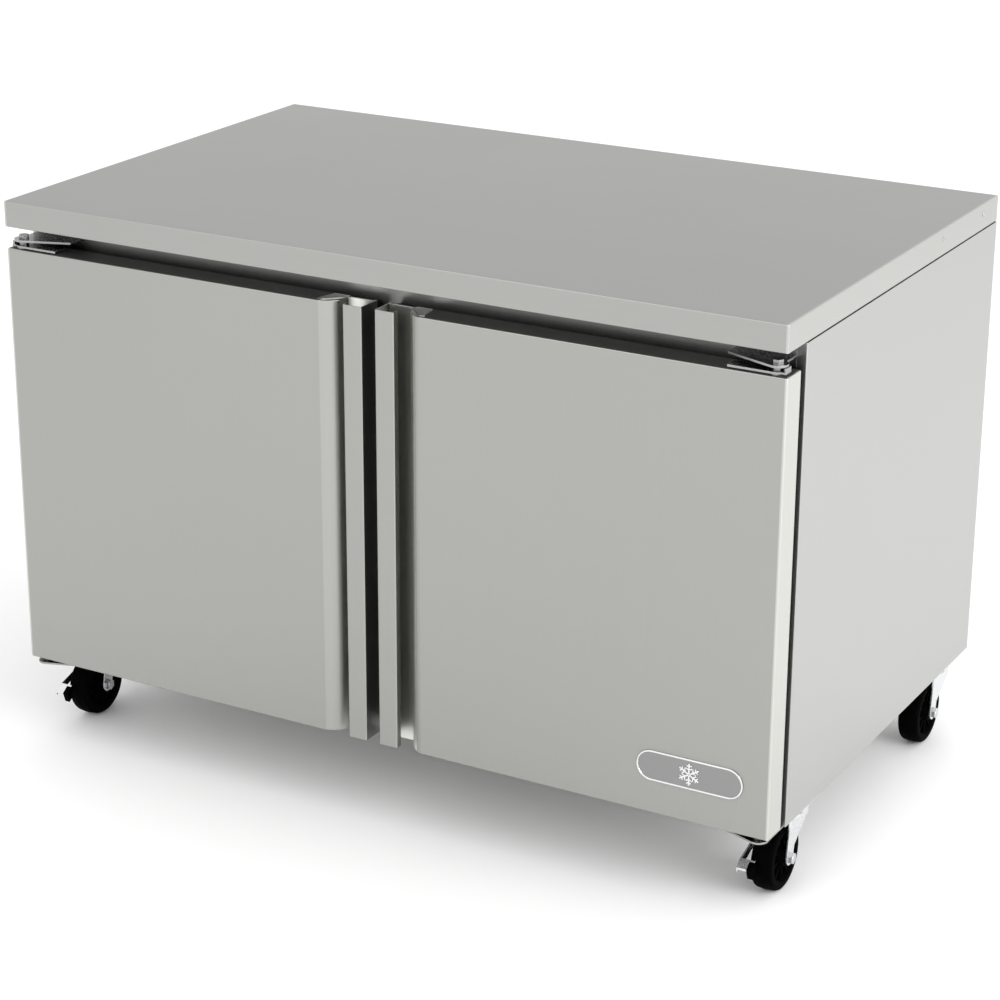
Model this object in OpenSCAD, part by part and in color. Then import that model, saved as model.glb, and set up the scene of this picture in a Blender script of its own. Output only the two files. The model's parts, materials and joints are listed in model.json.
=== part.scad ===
// Two-door under counter refrigerator on four swivel casters.
// Origin: centre of the footprint on the floor. +X right, +Y to the back, +Z up.
// Sub-parts are drawn with Y measured from the worktop's front edge, and placed() moves
// them to the centre of the footprint.

/* [Overall] */
// Width across the side panels
width = 1220; // [1180:10:1260]
// Depth of the worktop, front edge to back edge
depth = 753; // [740:1:780]
// Height of the worktop above the floor
height = 836; // [830:1:850]

/* [Cabinet] */
// Thickness of the worktop
worktop_t = 38; // [34:1:44]
// Thickness of the folded sheet steel
sheet = 1.2; // [0.8:0.1:1.5]
// Distance from the worktop's front edge back to the cabinet's front frame
body_front = 61.5; // [60:0.5:66]
// Height of the cabinet's underside, which is the casters' overall height
body_bottom = 120.5; // [120:0.5:124]
// Thickness of the insulated walls
wall = 50; // [45:1:60]
// Half width of the centre mullion
mullion_half = 30; // [26:1:36]

/* [Doors] */
// Distance from the worktop's front edge back to the doors' face
door_front = 2; // [1:0.5:4]
// Thickness of a door without its gasket
door_t = 41; // [38:1:43]
// Gap from the worktop's top down to the doors' top edge
door_drop = 70; // [66:1:74]
// Height of the doors' bottom edge above the cabinet's underside
door_lift = 6; // [5:0.5:8]
// Half of the gap between the two doors
door_gap_half = 10.5; // [8:0.5:14]

/* [Handle] */
// Distance from the cabinet's centre to the outer edge of the pull plate
pull_edge = 40; // [36:1:44]
// Distance from the cabinet's centre to the start of the curved side of the recess
recess_edge = 80; // [76:1:90]
// Radius of the curved side of the recess
recess_r = 36; // [34:1:38]
// Angle of the crease where the face meets the curved side
crease = 12; // [6:1:16]

/* [Hinges] */
// Distance from the door's outer edge in to the hinge pivot
pivot_in = 20; // [18:1:24]
// Distance from the worktop's front edge back to the hinge pivot
pivot_back = 16.5; // [15:0.5:20]
// Radius of the hinge pins
pin_r = 4; // [3:0.5:5]

/* [Casters] */
// Radius of the caster wheels
wheel_r = 50; // [44:1:51]
// Width of the wheel tread
wheel_w = 32; // [22:1:34]
// Distance from the swivel axis forward to the axle
trail = 24; // [24:1:34]
// Distance from the cabinet's centre to each swivel axis
caster_x = 575; // [540:1:575]
// Distance from the worktop's front edge back to the front swivel axes
caster_y1 = 135; // [125:1:160]
// Distance from the worktop's front edge back to the rear swivel axes
caster_y2 = 675; // [640:1:690]

/* [Hidden] */
$fn = 48;

half_w = width / 2;
body_top = height - worktop_t;
// Clearance between pieces that touch but stay separate
seam = 0.2;
// Shadow line between the side panels and the worktop
shadow_gap = 1.5;

// Storage space
in_x = half_w - wall;
in_z0 = body_bottom + 45;
in_z1 = body_top - 45;
in_back_low = 520;
in_back_high = depth - wall;
step_z = 430;
liner_t = 1;

// Outer face of the rear panel and grille, set in so that screw heads stay flush
rear_y = depth - 2.2;

// Machine compartment behind and below the storage space
bay_front = in_back_low + 46;
bay_top = step_z - 46;
bay_x = half_w - 30;

// Doors
door_bottom = body_bottom + door_lift;
door_top = height - door_drop;
door_back = door_front + door_t;
door_h = door_top - door_bottom;
plug_back = body_front - 1;
gasket_back = body_front - 0.3;
gasket_w = 24;
pivot_x = half_w - pivot_in;
gasket_outer = pivot_x - 10;

// Hinge plates and brackets
plate_t = 3;
bracket_z = door_top + 11;
bar_lift = 2;
bar_length = 70;
// Spacers that hold the bar off the door: one round the pivot, one nearer the middle
pivot_spacer_r = 11;
inner_spacer_r = 8;
inner_spacer_in = 52;
bush_r = 7;
fit = 0.05;

// Casters
axle_r = 5;
hub_half = 18;
leg_in = 20;
leg_t = 3;
plate_z = body_bottom - 2.5;
crown_z = wheel_r * 2 + 4;
wheel_drop = plate_z - crown_z;

function arc(cx, cy, r, a0, a1, n = 12) =
    [for (i = [0 : n]) [cx + r * cos(a0 + (a1 - a0) * i / n),
                        cy + r * sin(a0 + (a1 - a0) * i / n)]];

// Moves a sub-part from front-edge measurements to the centre of the footprint
module placed() {
    translate([0, -depth / 2, 0]) children();
}

// A box given by its low and high corners
module block(lo, hi) {
    translate(lo) cube(hi - lo);
}

module bar_x(r, x0, x1) {
    translate([x0, 0, 0]) rotate([0, 90, 0]) cylinder(r = r, h = x1 - x0);
}

module bar_y(r, y0, y1) {
    translate([0, y0, 0]) rotate([-90, 0, 0]) cylinder(r = r, h = y1 - y0);
}

// Both sides of the cabinet, drawn for the right side
module both_sides() {
    children();
    mirror([1, 0, 0]) children();
}

// ---------------------------------------------------------------- worktop

module worktop() placed() color("silver") {
    difference() {
        block([-half_w, 0, body_top], [half_w, depth, height]);
        block([-half_w + sheet, sheet, body_top + sheet],
              [half_w - sheet, depth - sheet, height - sheet]);
        block([-half_w + 20, body_front + 20, body_top - 1],
              [half_w - 20, depth - 20, body_top + sheet + 1]);
    }
}

module worktop_core() placed() color("tan")
    block([-half_w + sheet + seam, sheet + seam, body_top + sheet + seam],
          [half_w - sheet - seam, depth - sheet - seam, height - sheet - seam]);

// ---------------------------------------------------------------- cabinet shell

module side_panel() placed() color("gainsboro") {
    block([half_w - sheet, body_front, body_bottom], [half_w, depth, body_top - shadow_gap]);
    block([half_w - 14, body_front, body_bottom],
          [half_w, body_front + sheet, body_top - shadow_gap]);
    block([half_w - 14, body_front, body_bottom], [half_w, depth, body_bottom + sheet]);
}

module left_side_panel() mirror([1, 0, 0]) side_panel();
module right_side_panel() side_panel();

module rear_panel() placed() color("gainsboro") {
    block([-half_w + sheet + seam, rear_y - sheet, bay_top + 5],
          [half_w - sheet - seam, rear_y, body_top - seam]);
}

module base_panel() placed() color("silver")
    block([-half_w + 14 + seam, body_front, body_bottom],
          [half_w - 14 - seam, bay_front - seam, body_bottom + sheet]);

// The two-level storage space, grown on all sides but the front
module storage_space(grow) {
    block([-in_x - grow, body_front - 10, in_z0 - grow],
          [in_x + grow, in_back_low + grow, in_z1 + grow]);
    block([-in_x - grow, body_front - 10, step_z - grow],
          [in_x + grow, in_back_high + grow, in_z1 + grow]);
}

module inner_liner() placed() color("whitesmoke") {
    difference() {
        intersection() {
            storage_space(liner_t);
            block([-half_w, body_front + 2, 0], [half_w, depth, height]);
        }
        storage_space(0);
    }
}

module cabinet_foam() placed() color("khaki") {
    difference() {
        block([-half_w + sheet + seam, body_front + 2, body_bottom + sheet + seam],
              [half_w - sheet - seam, rear_y - sheet - seam, body_top - seam]);
        storage_space(liner_t + seam);
        block([-bay_x, bay_front, body_bottom - 10], [bay_x, depth + 10, bay_top]);
    }
}

module front_frame() placed() color("silver") {
    difference() {
        block([-half_w + 14 + seam, body_front, body_bottom + sheet + seam],
              [half_w - 14 - seam, body_front + 1.6, body_top - seam]);
        both_sides()
            block([mullion_half, body_front - 1, in_z0], [in_x, body_front + 3, in_z1]);
    }
    block([-mullion_half + 2, body_front + 1, in_z0 + seam],
          [mullion_half - 2, body_front + 32, in_z1 - seam]);
}

// ---------------------------------------------------------------- shelves

shelf_z = 430;
shelf_y0 = body_front + 36;
shelf_y1 = in_back_low - 12;
shelf_in = mullion_half - 12;
shelf_out = in_x - 22;
wire_r = 1.8;
rim_r = 3.5;
wire_count = 27;
standard_y = [shelf_y0 + 45, shelf_y1 - 50];

module standard_strip() {
    difference() {
        block([-10, 0, in_z0 + 30], [10, 6, in_z1 - 30]);
        for (i = [0 : 13])
            block([-4, -1, in_z0 + 55 + i * 34], [4, 4.4, in_z0 + 66 + i * 34]);
    }
}

module shelf_standards() placed() color("lightgray") {
    both_sides()
        for (y = standard_y)
            translate([in_x - seam, y, 0]) rotate(90) standard_strip();
    translate([0, body_front + 39, 0]) mirror([0, 1, 0]) standard_strip();
}

module shelf_clips() placed() color("silver") {
    both_sides()
        for (y = standard_y)
            translate([in_x - 6.4, y, shelf_z - rim_r - 6]) {
                block([-20, -7, 3], [0, 7, 5.8]);
                block([-2, -7, -14], [0, 7, 5.8]);
            }
    block([-24, body_front + 39.4, shelf_z - rim_r - 3],
          [24, body_front + 60, shelf_z - rim_r - 0.3]);
}

module wire_shelf() placed() color("white") {
    for (y = [shelf_y0 + rim_r, (shelf_y0 + shelf_y1) / 2, shelf_y1 - rim_r])
        translate([0, y, shelf_z]) bar_x(rim_r, shelf_in, shelf_out, $fn = 24);
    for (x = [shelf_in, shelf_out])
        translate([x, 0, shelf_z]) bar_y(rim_r, shelf_y0, shelf_y1, $fn = 24);
    for (i = [1 : wire_count - 1])
        translate([shelf_in + (shelf_out - shelf_in) * i / wire_count, 0, shelf_z + rim_r])
            bar_y(wire_r, shelf_y0, shelf_y1, $fn = 16);
}

module right_shelf() wire_shelf();
module left_shelf() mirror([1, 0, 0]) wire_shelf();

// ---------------------------------------------------------------- evaporator unit

evap_x = 300;
evap_y0 = in_back_high - 130;
evap_z0 = in_z1 - 172;
evap_fan_r = 62;
evap_fan_z = (evap_z0 + in_z1) / 2;
evap_fan_y = evap_y0 + 24;

module evaporator_cover() placed() color("white") {
    difference() {
        block([-evap_x, evap_y0, evap_z0], [evap_x, in_back_high - seam, in_z1 - seam]);
        block([-evap_x + 1.5, evap_y0 + 1.5, evap_z0 + 1.5],
              [evap_x - 1.5, in_back_high, in_z1]);
        translate([0, 0, evap_fan_z])
            bar_y_cut(evap_fan_r + 6, evap_y0 - 1, evap_y0 + 3);
        both_sides()
            for (i = [0 : 7])
                block([120, evap_y0 - 1, evap_z0 + 26 + i * 16],
                      [270, evap_y0 + 3, evap_z0 + 33 + i * 16]);
    }
    for (r = [20, 36, 52, 68])
        translate([0, evap_y0 - 2, evap_fan_z]) rotate([-90, 0, 0])
            rotate_extrude($fn = 64) translate([r, 0]) circle(1.4, $fn = 16);
    for (a = [0, 90])
        translate([0, evap_y0 - 1.4, evap_fan_z]) rotate([0, a, 0])
            bar_x(1.6, -evap_fan_r - 11, evap_fan_r + 11);
}

module bar_y_cut(r, y0, y1) {
    translate([0, y0, 0]) rotate([-90, 0, 0]) cylinder(r = r, h = y1 - y0, $fn = 64);
}

module evaporator_coil() placed() color("silver") {
    for (i = [0 : 55])
        block([-275 + i * 10, in_back_high - 62, evap_z0 + 14],
              [-274.4 + i * 10, in_back_high - 12, in_z1 - 14]);
    for (z = [evap_z0 + 38, evap_z0 + 86, in_z1 - 38])
        translate([0, in_back_high - 37, z]) bar_x(5, -284, 284);
}

module evaporator_fan_motor() placed() color("dimgray") {
    translate([0, 0, evap_fan_z]) {
        bar_y(22, evap_fan_y + 12, evap_fan_y + 38);
        bar_y(3, evap_fan_y - 8, evap_fan_y + 13);
    }
    block([-9, evap_fan_y + 24, evap_z0 + 1.8], [9, evap_fan_y + 27, in_z1 - 2]);
}

// Axial fan rotor about +Y: a hub with a bore and twisted blades set at a constant pitch
module fan_rotor(blade_r, hub_r, hub_h, shaft_r, blades) {
    difference() {
        bar_y(hub_r, 0, hub_h);
        bar_y(shaft_r, -1, hub_h + 1);
    }
    for (i = [0 : blades - 1])
        rotate([0, i * 360 / blades, 0])
            translate([hub_r - 1.5, hub_h / 2, 0]) rotate([118, 0, 0])
                linear_extrude(1.6, center = true)
                    polygon([[0, -5], [0, 5], [blade_r - hub_r, 16], [blade_r - hub_r + 1, -12]]);
}

module evaporator_fan_blade() placed() color("dimgray")
    translate([0, evap_fan_y - 6, evap_fan_z])
        fan_rotor(evap_fan_r - 6, 14, 14, 3.03, 5);

knob_x = -210;
knob_y = evap_y0 - 12.5;
knob_z = evap_z0 - 24;

module thermostat_housing() placed() color("whitesmoke") {
    difference() {
        block([knob_x - 40, evap_y0 - 12, knob_z - 22], [knob_x + 40, evap_y0 + 22, evap_z0 - seam]);
        block([knob_x - 38, evap_y0 - 10, knob_z - 20], [knob_x + 38, evap_y0 + 23, evap_z0 - 2]);
    }
    translate([knob_x, 0, knob_z]) bar_y(3, knob_y - 12, knob_y + 3);
}

module thermostat_knob() placed() color("black") {
    translate([knob_x, 0, knob_z])
        difference() {
            union() {
                bar_y(16, knob_y - 3, knob_y);
                bar_y(13, knob_y - 15, knob_y - 2);
                block([-2, knob_y - 17, -13], [2, knob_y - 2, 13]);
            }
            bar_y(3.03, knob_y - 12.3, knob_y + 1);
        }
}

// ---------------------------------------------------------------- refrigeration unit

tray_z = body_bottom + 1.2;
comp_x = 330;
comp_y = (bay_front + depth) / 2;
comp_r = 66;
comp_z = tray_z + 22;
cond_x0 = -420;
cond_x1 = -120;
cond_y = bay_front + 26;
cond_fan_x = (cond_x0 + cond_x1) / 2;
cond_fan_z = tray_z + 118;
cond_fan_r = 92;
cond_fan_y = cond_y + 56;

module machine_tray() placed() color("darkgray") {
    block([-half_w + 14 + seam, bay_front, body_bottom], [half_w - 14 - seam, rear_y - sheet - seam, tray_z]);
    block([-bay_x + 1, bay_front + 1, body_bottom], [bay_x - 1, bay_front + 2.5, tray_z + 14]);
}

// Welded steel shell of the compressor, with its terminal cover and stubs
module compressor() placed() color("black") {
    translate([comp_x, comp_y, comp_z]) {
        rotate_extrude($fn = 72)
            polygon(concat([[0, 0], [38, 0]], arc(38, 28, 28, -90, 0), arc(38, 118, 28, 0, 90), [[0, 146]]));
        block([-88, -58, 0], [-70, 58, 3]);
        block([70, -58, 0], [88, 58, 3]);
        block([-84, -30, 0], [84, 30, 3]);
        block([-30, 55, 50], [30, 84, 100]);
    }
}

module compressor_feet() placed() color("dimgray") {
    for (x = [-79, 79])
        for (y = [-46, 46])
            translate([comp_x + x, comp_y + y, tray_z + seam])
                cylinder(r = 11, h = comp_z - tray_z - 2 * seam);
}

module condenser_coil() placed() color("silver") {
    for (i = [0 : 49])
        block([cond_x0 + i * 6, cond_y, tray_z + 12], [cond_x0 + i * 6 + 0.6, cond_y + 40, tray_z + 224]);
    for (z = [0 : 3])
        for (y = [10, 30])
            translate([0, cond_y + y, tray_z + 40 + z * 52]) bar_x(4.8, cond_x0 - 8, cond_x1 + 4);
    for (x = [cond_x0 - 3, cond_x1 - 1])
        block([x, cond_y - 2, tray_z + 0.4], [x + 1.5, cond_y + 42, tray_z + 228]);
}

module condenser_shroud() placed() color("gray") {
    difference() {
        block([cond_x0 + 6, cond_y + 44, tray_z + 0.4], [cond_x1 - 6, cond_y + 84, tray_z + 228]);
        block([cond_x0 + 8, cond_y + 43, tray_z + 3], [cond_x1 - 8, cond_y + 82, tray_z + 226]);
        translate([cond_fan_x, 0, cond_fan_z]) bar_y_cut(cond_fan_r + 4, cond_y + 70, cond_y + 90);
    }
}

module condenser_fan_motor() placed() color("dimgray") {
    translate([cond_fan_x, 0, cond_fan_z]) {
        bar_y(28, cond_fan_y + 28, cond_fan_y + 72);
        bar_y(3, cond_fan_y, cond_fan_y + 29);
        for (a = [45, 135])
            translate([0, cond_fan_y + 28.4, 0]) rotate([0, a, 0])
                block([-cond_fan_r - 10, 0, -5], [cond_fan_r + 10, 2.5, 5]);
    }
}

module condenser_fan_blade() placed() color("silver")
    translate([cond_fan_x, cond_fan_y + 2, cond_fan_z])
        fan_rotor(cond_fan_r - 6, 20, 18, 3.03, 5);

// Straight copper runs with brazed ball elbows, and the filter drier in the liquid line
module pipe_run(points, r) {
    for (i = [0 : len(points) - 2])
        let (a = points[i], b = points[i + 1], d = b - a)
            translate(a)
                rotate([0, acos(d[2] / norm(d)), atan2(d[1], d[0])])
                    cylinder(r = r, h = norm(d), $fn = 24);
    for (p = points)
        translate(p) sphere(r = r + 0.6, $fn = 32);
}

module refrigerant_pipes() placed() color("peru") {
    pipe_run([[comp_x - 63.5, comp_y + 30, comp_z + 96], [comp_x - 120, comp_y + 30, comp_z + 96],
              [comp_x - 120, comp_y + 30, tray_z + 236], [cond_x1 + 22, comp_y + 30, tray_z + 236],
              [cond_x1 + 22, cond_y + 30, tray_z + 196],
              [cond_x1 + 9, cond_y + 30, tray_z + 196]], 4);
    pipe_run([[cond_x1 + 10, cond_y + 10, tray_z + 40], [cond_x1 + 70, cond_y + 10, tray_z + 40],
              [comp_x - 200, cond_y + 10, tray_z + 40], [comp_x - 200, cond_y + 10, bay_top - 6.5]], 3);
    translate([cond_x1 + 90, cond_y + 10, tray_z + 40]) bar_x(11, 0, 90);
    pipe_run([[comp_x - 66.5, comp_y - 26, comp_z + 110], [comp_x - 90, comp_y - 26, comp_z + 110],
              [comp_x - 90, comp_y - 26, bay_top - 6.5]], 5);
}

module condensate_tray() placed() color("black") {
    difference() {
        block([-90, comp_y + 4, tray_z + seam], [110, depth - 22, tray_z + 46]);
        block([-88, comp_y + 6, tray_z + 2], [108, depth - 24, tray_z + 47]);
    }
}

// Steel electrical box with a threaded gland for the supply cord
module junction_box() placed() color("lightgray") {
    difference() {
        union() {
            block([470, depth - 80, tray_z + 0.4], [550, depth - 24, tray_z + 110]);
            translate([510, 0, tray_z + 60]) bar_y(15, depth - 25, depth + 0);
        }
        block([471.5, depth - 78.5, tray_z + 2], [548.5, depth - 25.5, tray_z + 108.5]);
        translate([510, 0, tray_z + 60]) bar_y(7, depth - 40, depth + 1);
    }
}

// ---------------------------------------------------------------- rear grille and screws

grille_z0 = body_bottom + 4;
grille_z1 = bay_top + 4;
slot_rows = 12;

module slot_field(x0, x1, n, z0, rows) {
    for (i = [0 : n - 1])
        for (j = [0 : rows - 1])
            block([x0 + i * (x1 - x0) / n, rear_y - 5, z0 + j * 14],
                  [x0 + (i + 0.82) * (x1 - x0) / n, rear_y + 5, z0 + 6 + j * 14]);
}

module rear_grille() placed() color("gainsboro") {
    difference() {
        block([-half_w + 16, rear_y - sheet, grille_z0], [half_w - 16, rear_y, grille_z1]);
        slot_field(-460, -80, 4, grille_z0 + 40, slot_rows);
        slot_field(220, 440, 2, grille_z0 + 40, slot_rows);
        translate([510, 0, tray_z + 60]) bar_y(15.3, depth - 5, depth + 5);
    }
}

screw_side_y = [depth - 60, depth - 220];

module pan_head(r, h) {
    rotate_extrude($fn = 32)
        polygon([[0, 0], [r, 0], [r, h * 0.4], [r * 0.7, h * 0.85], [0, h]]);
}

// Pan-head screws: worktop edge, rear panel and rear grille
module panel_screws() placed() color("gray") {
    both_sides()
        for (y = screw_side_y)
            translate([half_w + 0.02, y, height - 15]) rotate([0, 90, 0]) pan_head(3, 1);
    for (x = [-585, -200, 200, 585])
        for (z = [bay_top + 15, body_top - 15])
            translate([x, rear_y + 0.02, z]) rotate([-90, 0, 0]) pan_head(3.5, 2);
    for (x = [-585, -40, 585])
        for (z = [grille_z0 + 14, grille_z1 - 14])
            translate([x, rear_y + 0.02, z]) rotate([-90, 0, 0]) pan_head(3.5, 2);
}

// ---------------------------------------------------------------- hinges

tip_r = 14;
bracket_in = 516;
// How far the top bracket's plate runs past the pivot behind its round tip
neck_out = 7;

// Plate with a slanting front edge and a round tip about the door's pivot
module bracket_outline(back, out) {
    translate([pivot_x, pivot_back]) circle(tip_r);
    polygon([[bracket_in, back], [bracket_in, body_front - 33],
             [pivot_x - tip_r * 0.39, pivot_back - tip_r * 0.92], [pivot_x, pivot_back],
             [pivot_x + out, pivot_back], [pivot_x + out, back]]);
}

// Horizontal plate bolted to the frame, with the pin that the door's bush turns on
module top_hinge_bracket() {
    translate([0, 0, bracket_z]) linear_extrude(plate_t) bracket_outline(body_front, neck_out);
    block([bracket_in, body_front - plate_t, bracket_z],
          [pivot_x + neck_out, body_front, body_top - 1]);
    translate([pivot_x, pivot_back, 0]) {
        translate([0, 0, bracket_z + plate_t - 0.5]) cylinder(r = 7.5, h = 6, $fn = 6);
        translate([0, 0, door_top - 12]) cylinder(r = pin_r, h = bracket_z + plate_t - door_top + 12);
    }
}

module top_hinge_brackets() placed() color("silver") both_sides() top_hinge_bracket();

// The same plate bolted under the cabinet's base, with the lower pin
module bottom_hinge_bracket() {
    translate([0, 0, body_bottom - seam - plate_t])
        linear_extrude(plate_t) bracket_outline(body_front + 20, tip_r);
    translate([pivot_x, pivot_back, body_bottom - 1])
        cylinder(r = pin_r, h = door_lift + 13);
}

module bottom_hinge_brackets() placed() color("silver") both_sides() bottom_hinge_bracket();

// ---------------------------------------------------------------- doors

skin_t = 1.2;
recess_back = door_back - 7;
recess_cx = recess_edge + recess_r * sin(crease);
recess_cy = door_front + recess_r * cos(crease);
recess_in = recess_cx - recess_r;

// Outline of a right-hand door's box section, from above
function door_outline(t) = concat(
    [[half_w - t, door_front + t], [half_w - t, door_back], [recess_in + t, door_back]],
    arc(recess_cx, recess_cy, recess_r - t, 180, 270 - crease, 16)
);

module door_pin_holes(r) {
    translate([pivot_x, pivot_back, door_top - 14]) cylinder(r = r, h = 20);
    translate([pivot_x, pivot_back, door_bottom - 6]) cylinder(r = r, h = 24);
}

// Folded steel skin: face, edges, the curved recess side and the hooked pull plate
module door_skin() placed() color("silver") {
    difference() {
        union() {
            translate([0, 0, door_bottom]) linear_extrude(door_h)
                difference() {
                    polygon(door_outline(0));
                    polygon(door_outline(skin_t));
                }
            translate([0, 0, door_bottom]) linear_extrude(skin_t) polygon(door_outline(0));
            translate([0, 0, door_top - skin_t]) linear_extrude(skin_t) polygon(door_outline(0));
            block([door_gap_half, recess_back, door_bottom],
                  [recess_in + skin_t, recess_back + skin_t, door_top]);
            block([door_gap_half, door_front, door_bottom],
                  [door_gap_half + skin_t, door_back, door_top]);
            block([door_gap_half, door_front, door_bottom],
                  [pull_edge, door_front + skin_t, door_top]);
            block([pull_edge - skin_t, door_front, door_bottom],
                  [pull_edge, door_front + 10, door_top]);
        }
        door_pin_holes(bush_r + seam);
        block([recess_in - 1, door_back - 2.4, door_bottom + skin_t],
              [recess_in + skin_t + seam, door_back + 1, door_top - skin_t]);
    }
}

// Insulation core behind the face, filling the raised centre of the back pan
module door_foam() placed() color("khaki") {
    plug_space(seam);
    difference() {
        translate([0, 0, door_bottom + skin_t + seam])
            linear_extrude(door_h - 2 * skin_t - 2 * seam)
                polygon(concat(
                    [[half_w - skin_t - seam, door_front + skin_t + seam],
                     [half_w - skin_t - seam, door_back - 1.2],
                     [recess_in + skin_t + seam, door_back - 1.2]],
                    arc(recess_cx, recess_cy, recess_r - skin_t - seam, 180, 270 - crease, 16)));
        door_pin_holes(bush_r + seam);
    }
}

plug_x0 = mullion_half + 16;
plug_x1 = in_x - 26;
plug_z0 = door_bottom + 56;
plug_z1 = door_top - 42;

// Back pan of the door with its raised, hollow centre
module door_liner() placed() color("whitesmoke") {
    difference() {
        union() {
            block([door_gap_half + skin_t + seam, door_back - 1, door_bottom + skin_t + seam],
                  [half_w - skin_t - seam, door_back + 0.4, door_top - skin_t - seam]);
            block([plug_x0, door_back - 1, plug_z0], [plug_x1, plug_back, plug_z1]);
        }
        plug_space(0);
    }
}

// Inside of the raised centre, open towards the foam
module plug_space(inset) {
    block([plug_x0 + 1.2 + inset, door_back - 2, plug_z0 + 1.2 + inset],
          [plug_x1 - 1.2 - inset, plug_back - 1.2 - inset, plug_z1 - 1.2 - inset]);
}

// Black magnetic gasket, a ring with a rounded sealing face
module door_gasket() placed() color("black") {
    lo = [door_gap_half + 1, door_bottom + 8];
    hi = [gasket_outer, door_top - 2];
    difference() {
        union() {
            block([lo[0], door_back + 0.6, lo[1]], [hi[0], gasket_back - 5, hi[1]]);
            block([lo[0] + 3, door_back + 6, lo[1] + 3], [hi[0] - 3, gasket_back, hi[1] - 3]);
        }
        block([lo[0] + gasket_w, door_back, lo[1] + gasket_w],
              [hi[0] - gasket_w, gasket_back + 1, hi[1] - gasket_w]);
    }
}

// Flat bars let into the door's top and bottom, each with the bush its pin turns in
module door_hinge_plates() placed() color("silver") {
    difference() {
        union() {
            translate([0, 0, door_top + bar_lift]) linear_extrude(plate_t) hinge_bar(bar_length);
            block([half_w - 8, pivot_back - 7, door_top + bar_lift],
                  [half_w - 5, pivot_back + 7, bracket_z - 0.6]);
            translate([pivot_x, pivot_back, door_top + 0.1]) cylinder(r = pivot_spacer_r, h = bar_lift);
            translate([pivot_x - inner_spacer_in, pivot_back, door_top + 0.1])
                cylinder(r = inner_spacer_r, h = bar_lift);
            translate([pivot_x, pivot_back, door_top - 13])
                cylinder(r = bush_r, h = bracket_z - 0.4 - door_top + 13);
            translate([pivot_x, pivot_back, body_bottom + 0.1])
                cylinder(r = bush_r, h = door_lift + 16);
        }
        translate([pivot_x, pivot_back, door_bottom - 10])
            cylinder(r = pin_r + fit, h = door_h + 40);
    }
}

module hinge_bar(length) {
    translate([pivot_x - length + 6, pivot_back - 11.5]) square([length - 6, 23]);
    translate([pivot_x - 1, pivot_back - 8]) square([half_w - 5 - pivot_x + 1, 16]);
    translate([pivot_x, pivot_back]) circle(11.5);
}

module right_door_skin() door_skin();
module right_door_foam() door_foam();
module right_door_liner() door_liner();
module right_door_gasket() door_gasket();
module right_door_hinge_plates() door_hinge_plates();
module left_door_skin() mirror([1, 0, 0]) door_skin();
module left_door_foam() mirror([1, 0, 0]) door_foam();
module left_door_liner() mirror([1, 0, 0]) door_liner();
module left_door_gasket() mirror([1, 0, 0]) door_gasket();
module left_door_hinge_plates() mirror([1, 0, 0]) door_hinge_plates();

badge_x = 494;
badge_z = 197;
badge_w = 156;
badge_h = 44;

// Plain rounded plaque
module door_badge() placed() color("gainsboro")
    translate([badge_x, door_front - seam, badge_z]) rotate([90, 0, 0])
        linear_extrude(1.6) {
            square([badge_w - badge_h, badge_h], center = true);
            for (s = [-1, 1])
                translate([s * (badge_w - badge_h) / 2, 0]) circle(badge_h / 2);
        }

// ---------------------------------------------------------------- casters

plate_bolt_x = 23;
plate_bolt_y = 37.5;

module at_casters() {
    for (x = [-caster_x, caster_x])
        for (y = [caster_y1, caster_y2])
            translate([x, y, 0]) children();
}

// Top plate with four bolt holes, its fixed race and the king pin
module caster_plates() placed() color("silver")
    at_casters() {
        difference() {
            union() {
                block([-33, -47, plate_z], [33, 47, body_bottom - 0.4]);
                translate([0, 0, plate_z - 4]) cylinder(r = 26, h = 5);
            }
            for (x = [-plate_bolt_x, plate_bolt_x])
                for (y = [-plate_bolt_y, plate_bolt_y])
                    translate([x, y, plate_z - 1]) cylinder(r = 4.3, h = 5);
        }
        translate([0, 0, crown_z - 2]) cylinder(r = 6, h = plate_z - crown_z + 3);
        translate([0, 0, crown_z - 2.8]) cylinder(r = 10, h = 2.4);
    }

module caster_bolts() placed() color("gray")
    at_casters()
        for (x = [-plate_bolt_x, plate_bolt_x])
            for (y = [-plate_bolt_y, plate_bolt_y])
                translate([x, y, plate_z - 4.6]) {
                    cylinder(r = 6.5, h = 4.5, $fn = 6);
                    cylinder(r = 4, h = 6.4);
                }

// Outline of a fork leg seen from the side: X runs back and Y up
module leg_outline() {
    circle_r = 11;
    leg_back = 34;
    difference() {
        union() {
            translate([-trail, wheel_r]) circle(circle_r);
            polygon([[-26, crown_z + 4], [leg_back, crown_z + 4], [leg_back, crown_z - 8],
                     [-trail + circle_r + 2, wheel_r + 14],
                     [-trail + circle_r, wheel_r], [-trail - circle_r, wheel_r],
                     [-trail - circle_r, wheel_r + 2]]);
        }
        translate([-trail, wheel_r]) circle(axle_r + fit);
    }
}

// Pressed fork: a crown with the lower race and two tapering legs
module caster_fork() color("silver") {
    difference() {
        union() {
            translate([0, 0, crown_z]) cylinder(r = 27, h = 4);
            translate([0, 0, crown_z + 3.5]) cylinder(r = 24, h = wheel_drop - 4 - 3.5 - 0.5);
            block([-leg_in - leg_t, -20, crown_z], [leg_in + leg_t, 20, crown_z + 4]);
        }
        translate([0, 0, crown_z - 1]) cylinder(r = 6.3, h = 20);
    }
    for (x = [-leg_in - leg_t, leg_in])
        translate([x, 0, 0]) rotate([90, 0, 90]) linear_extrude(leg_t) leg_outline();
}

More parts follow.
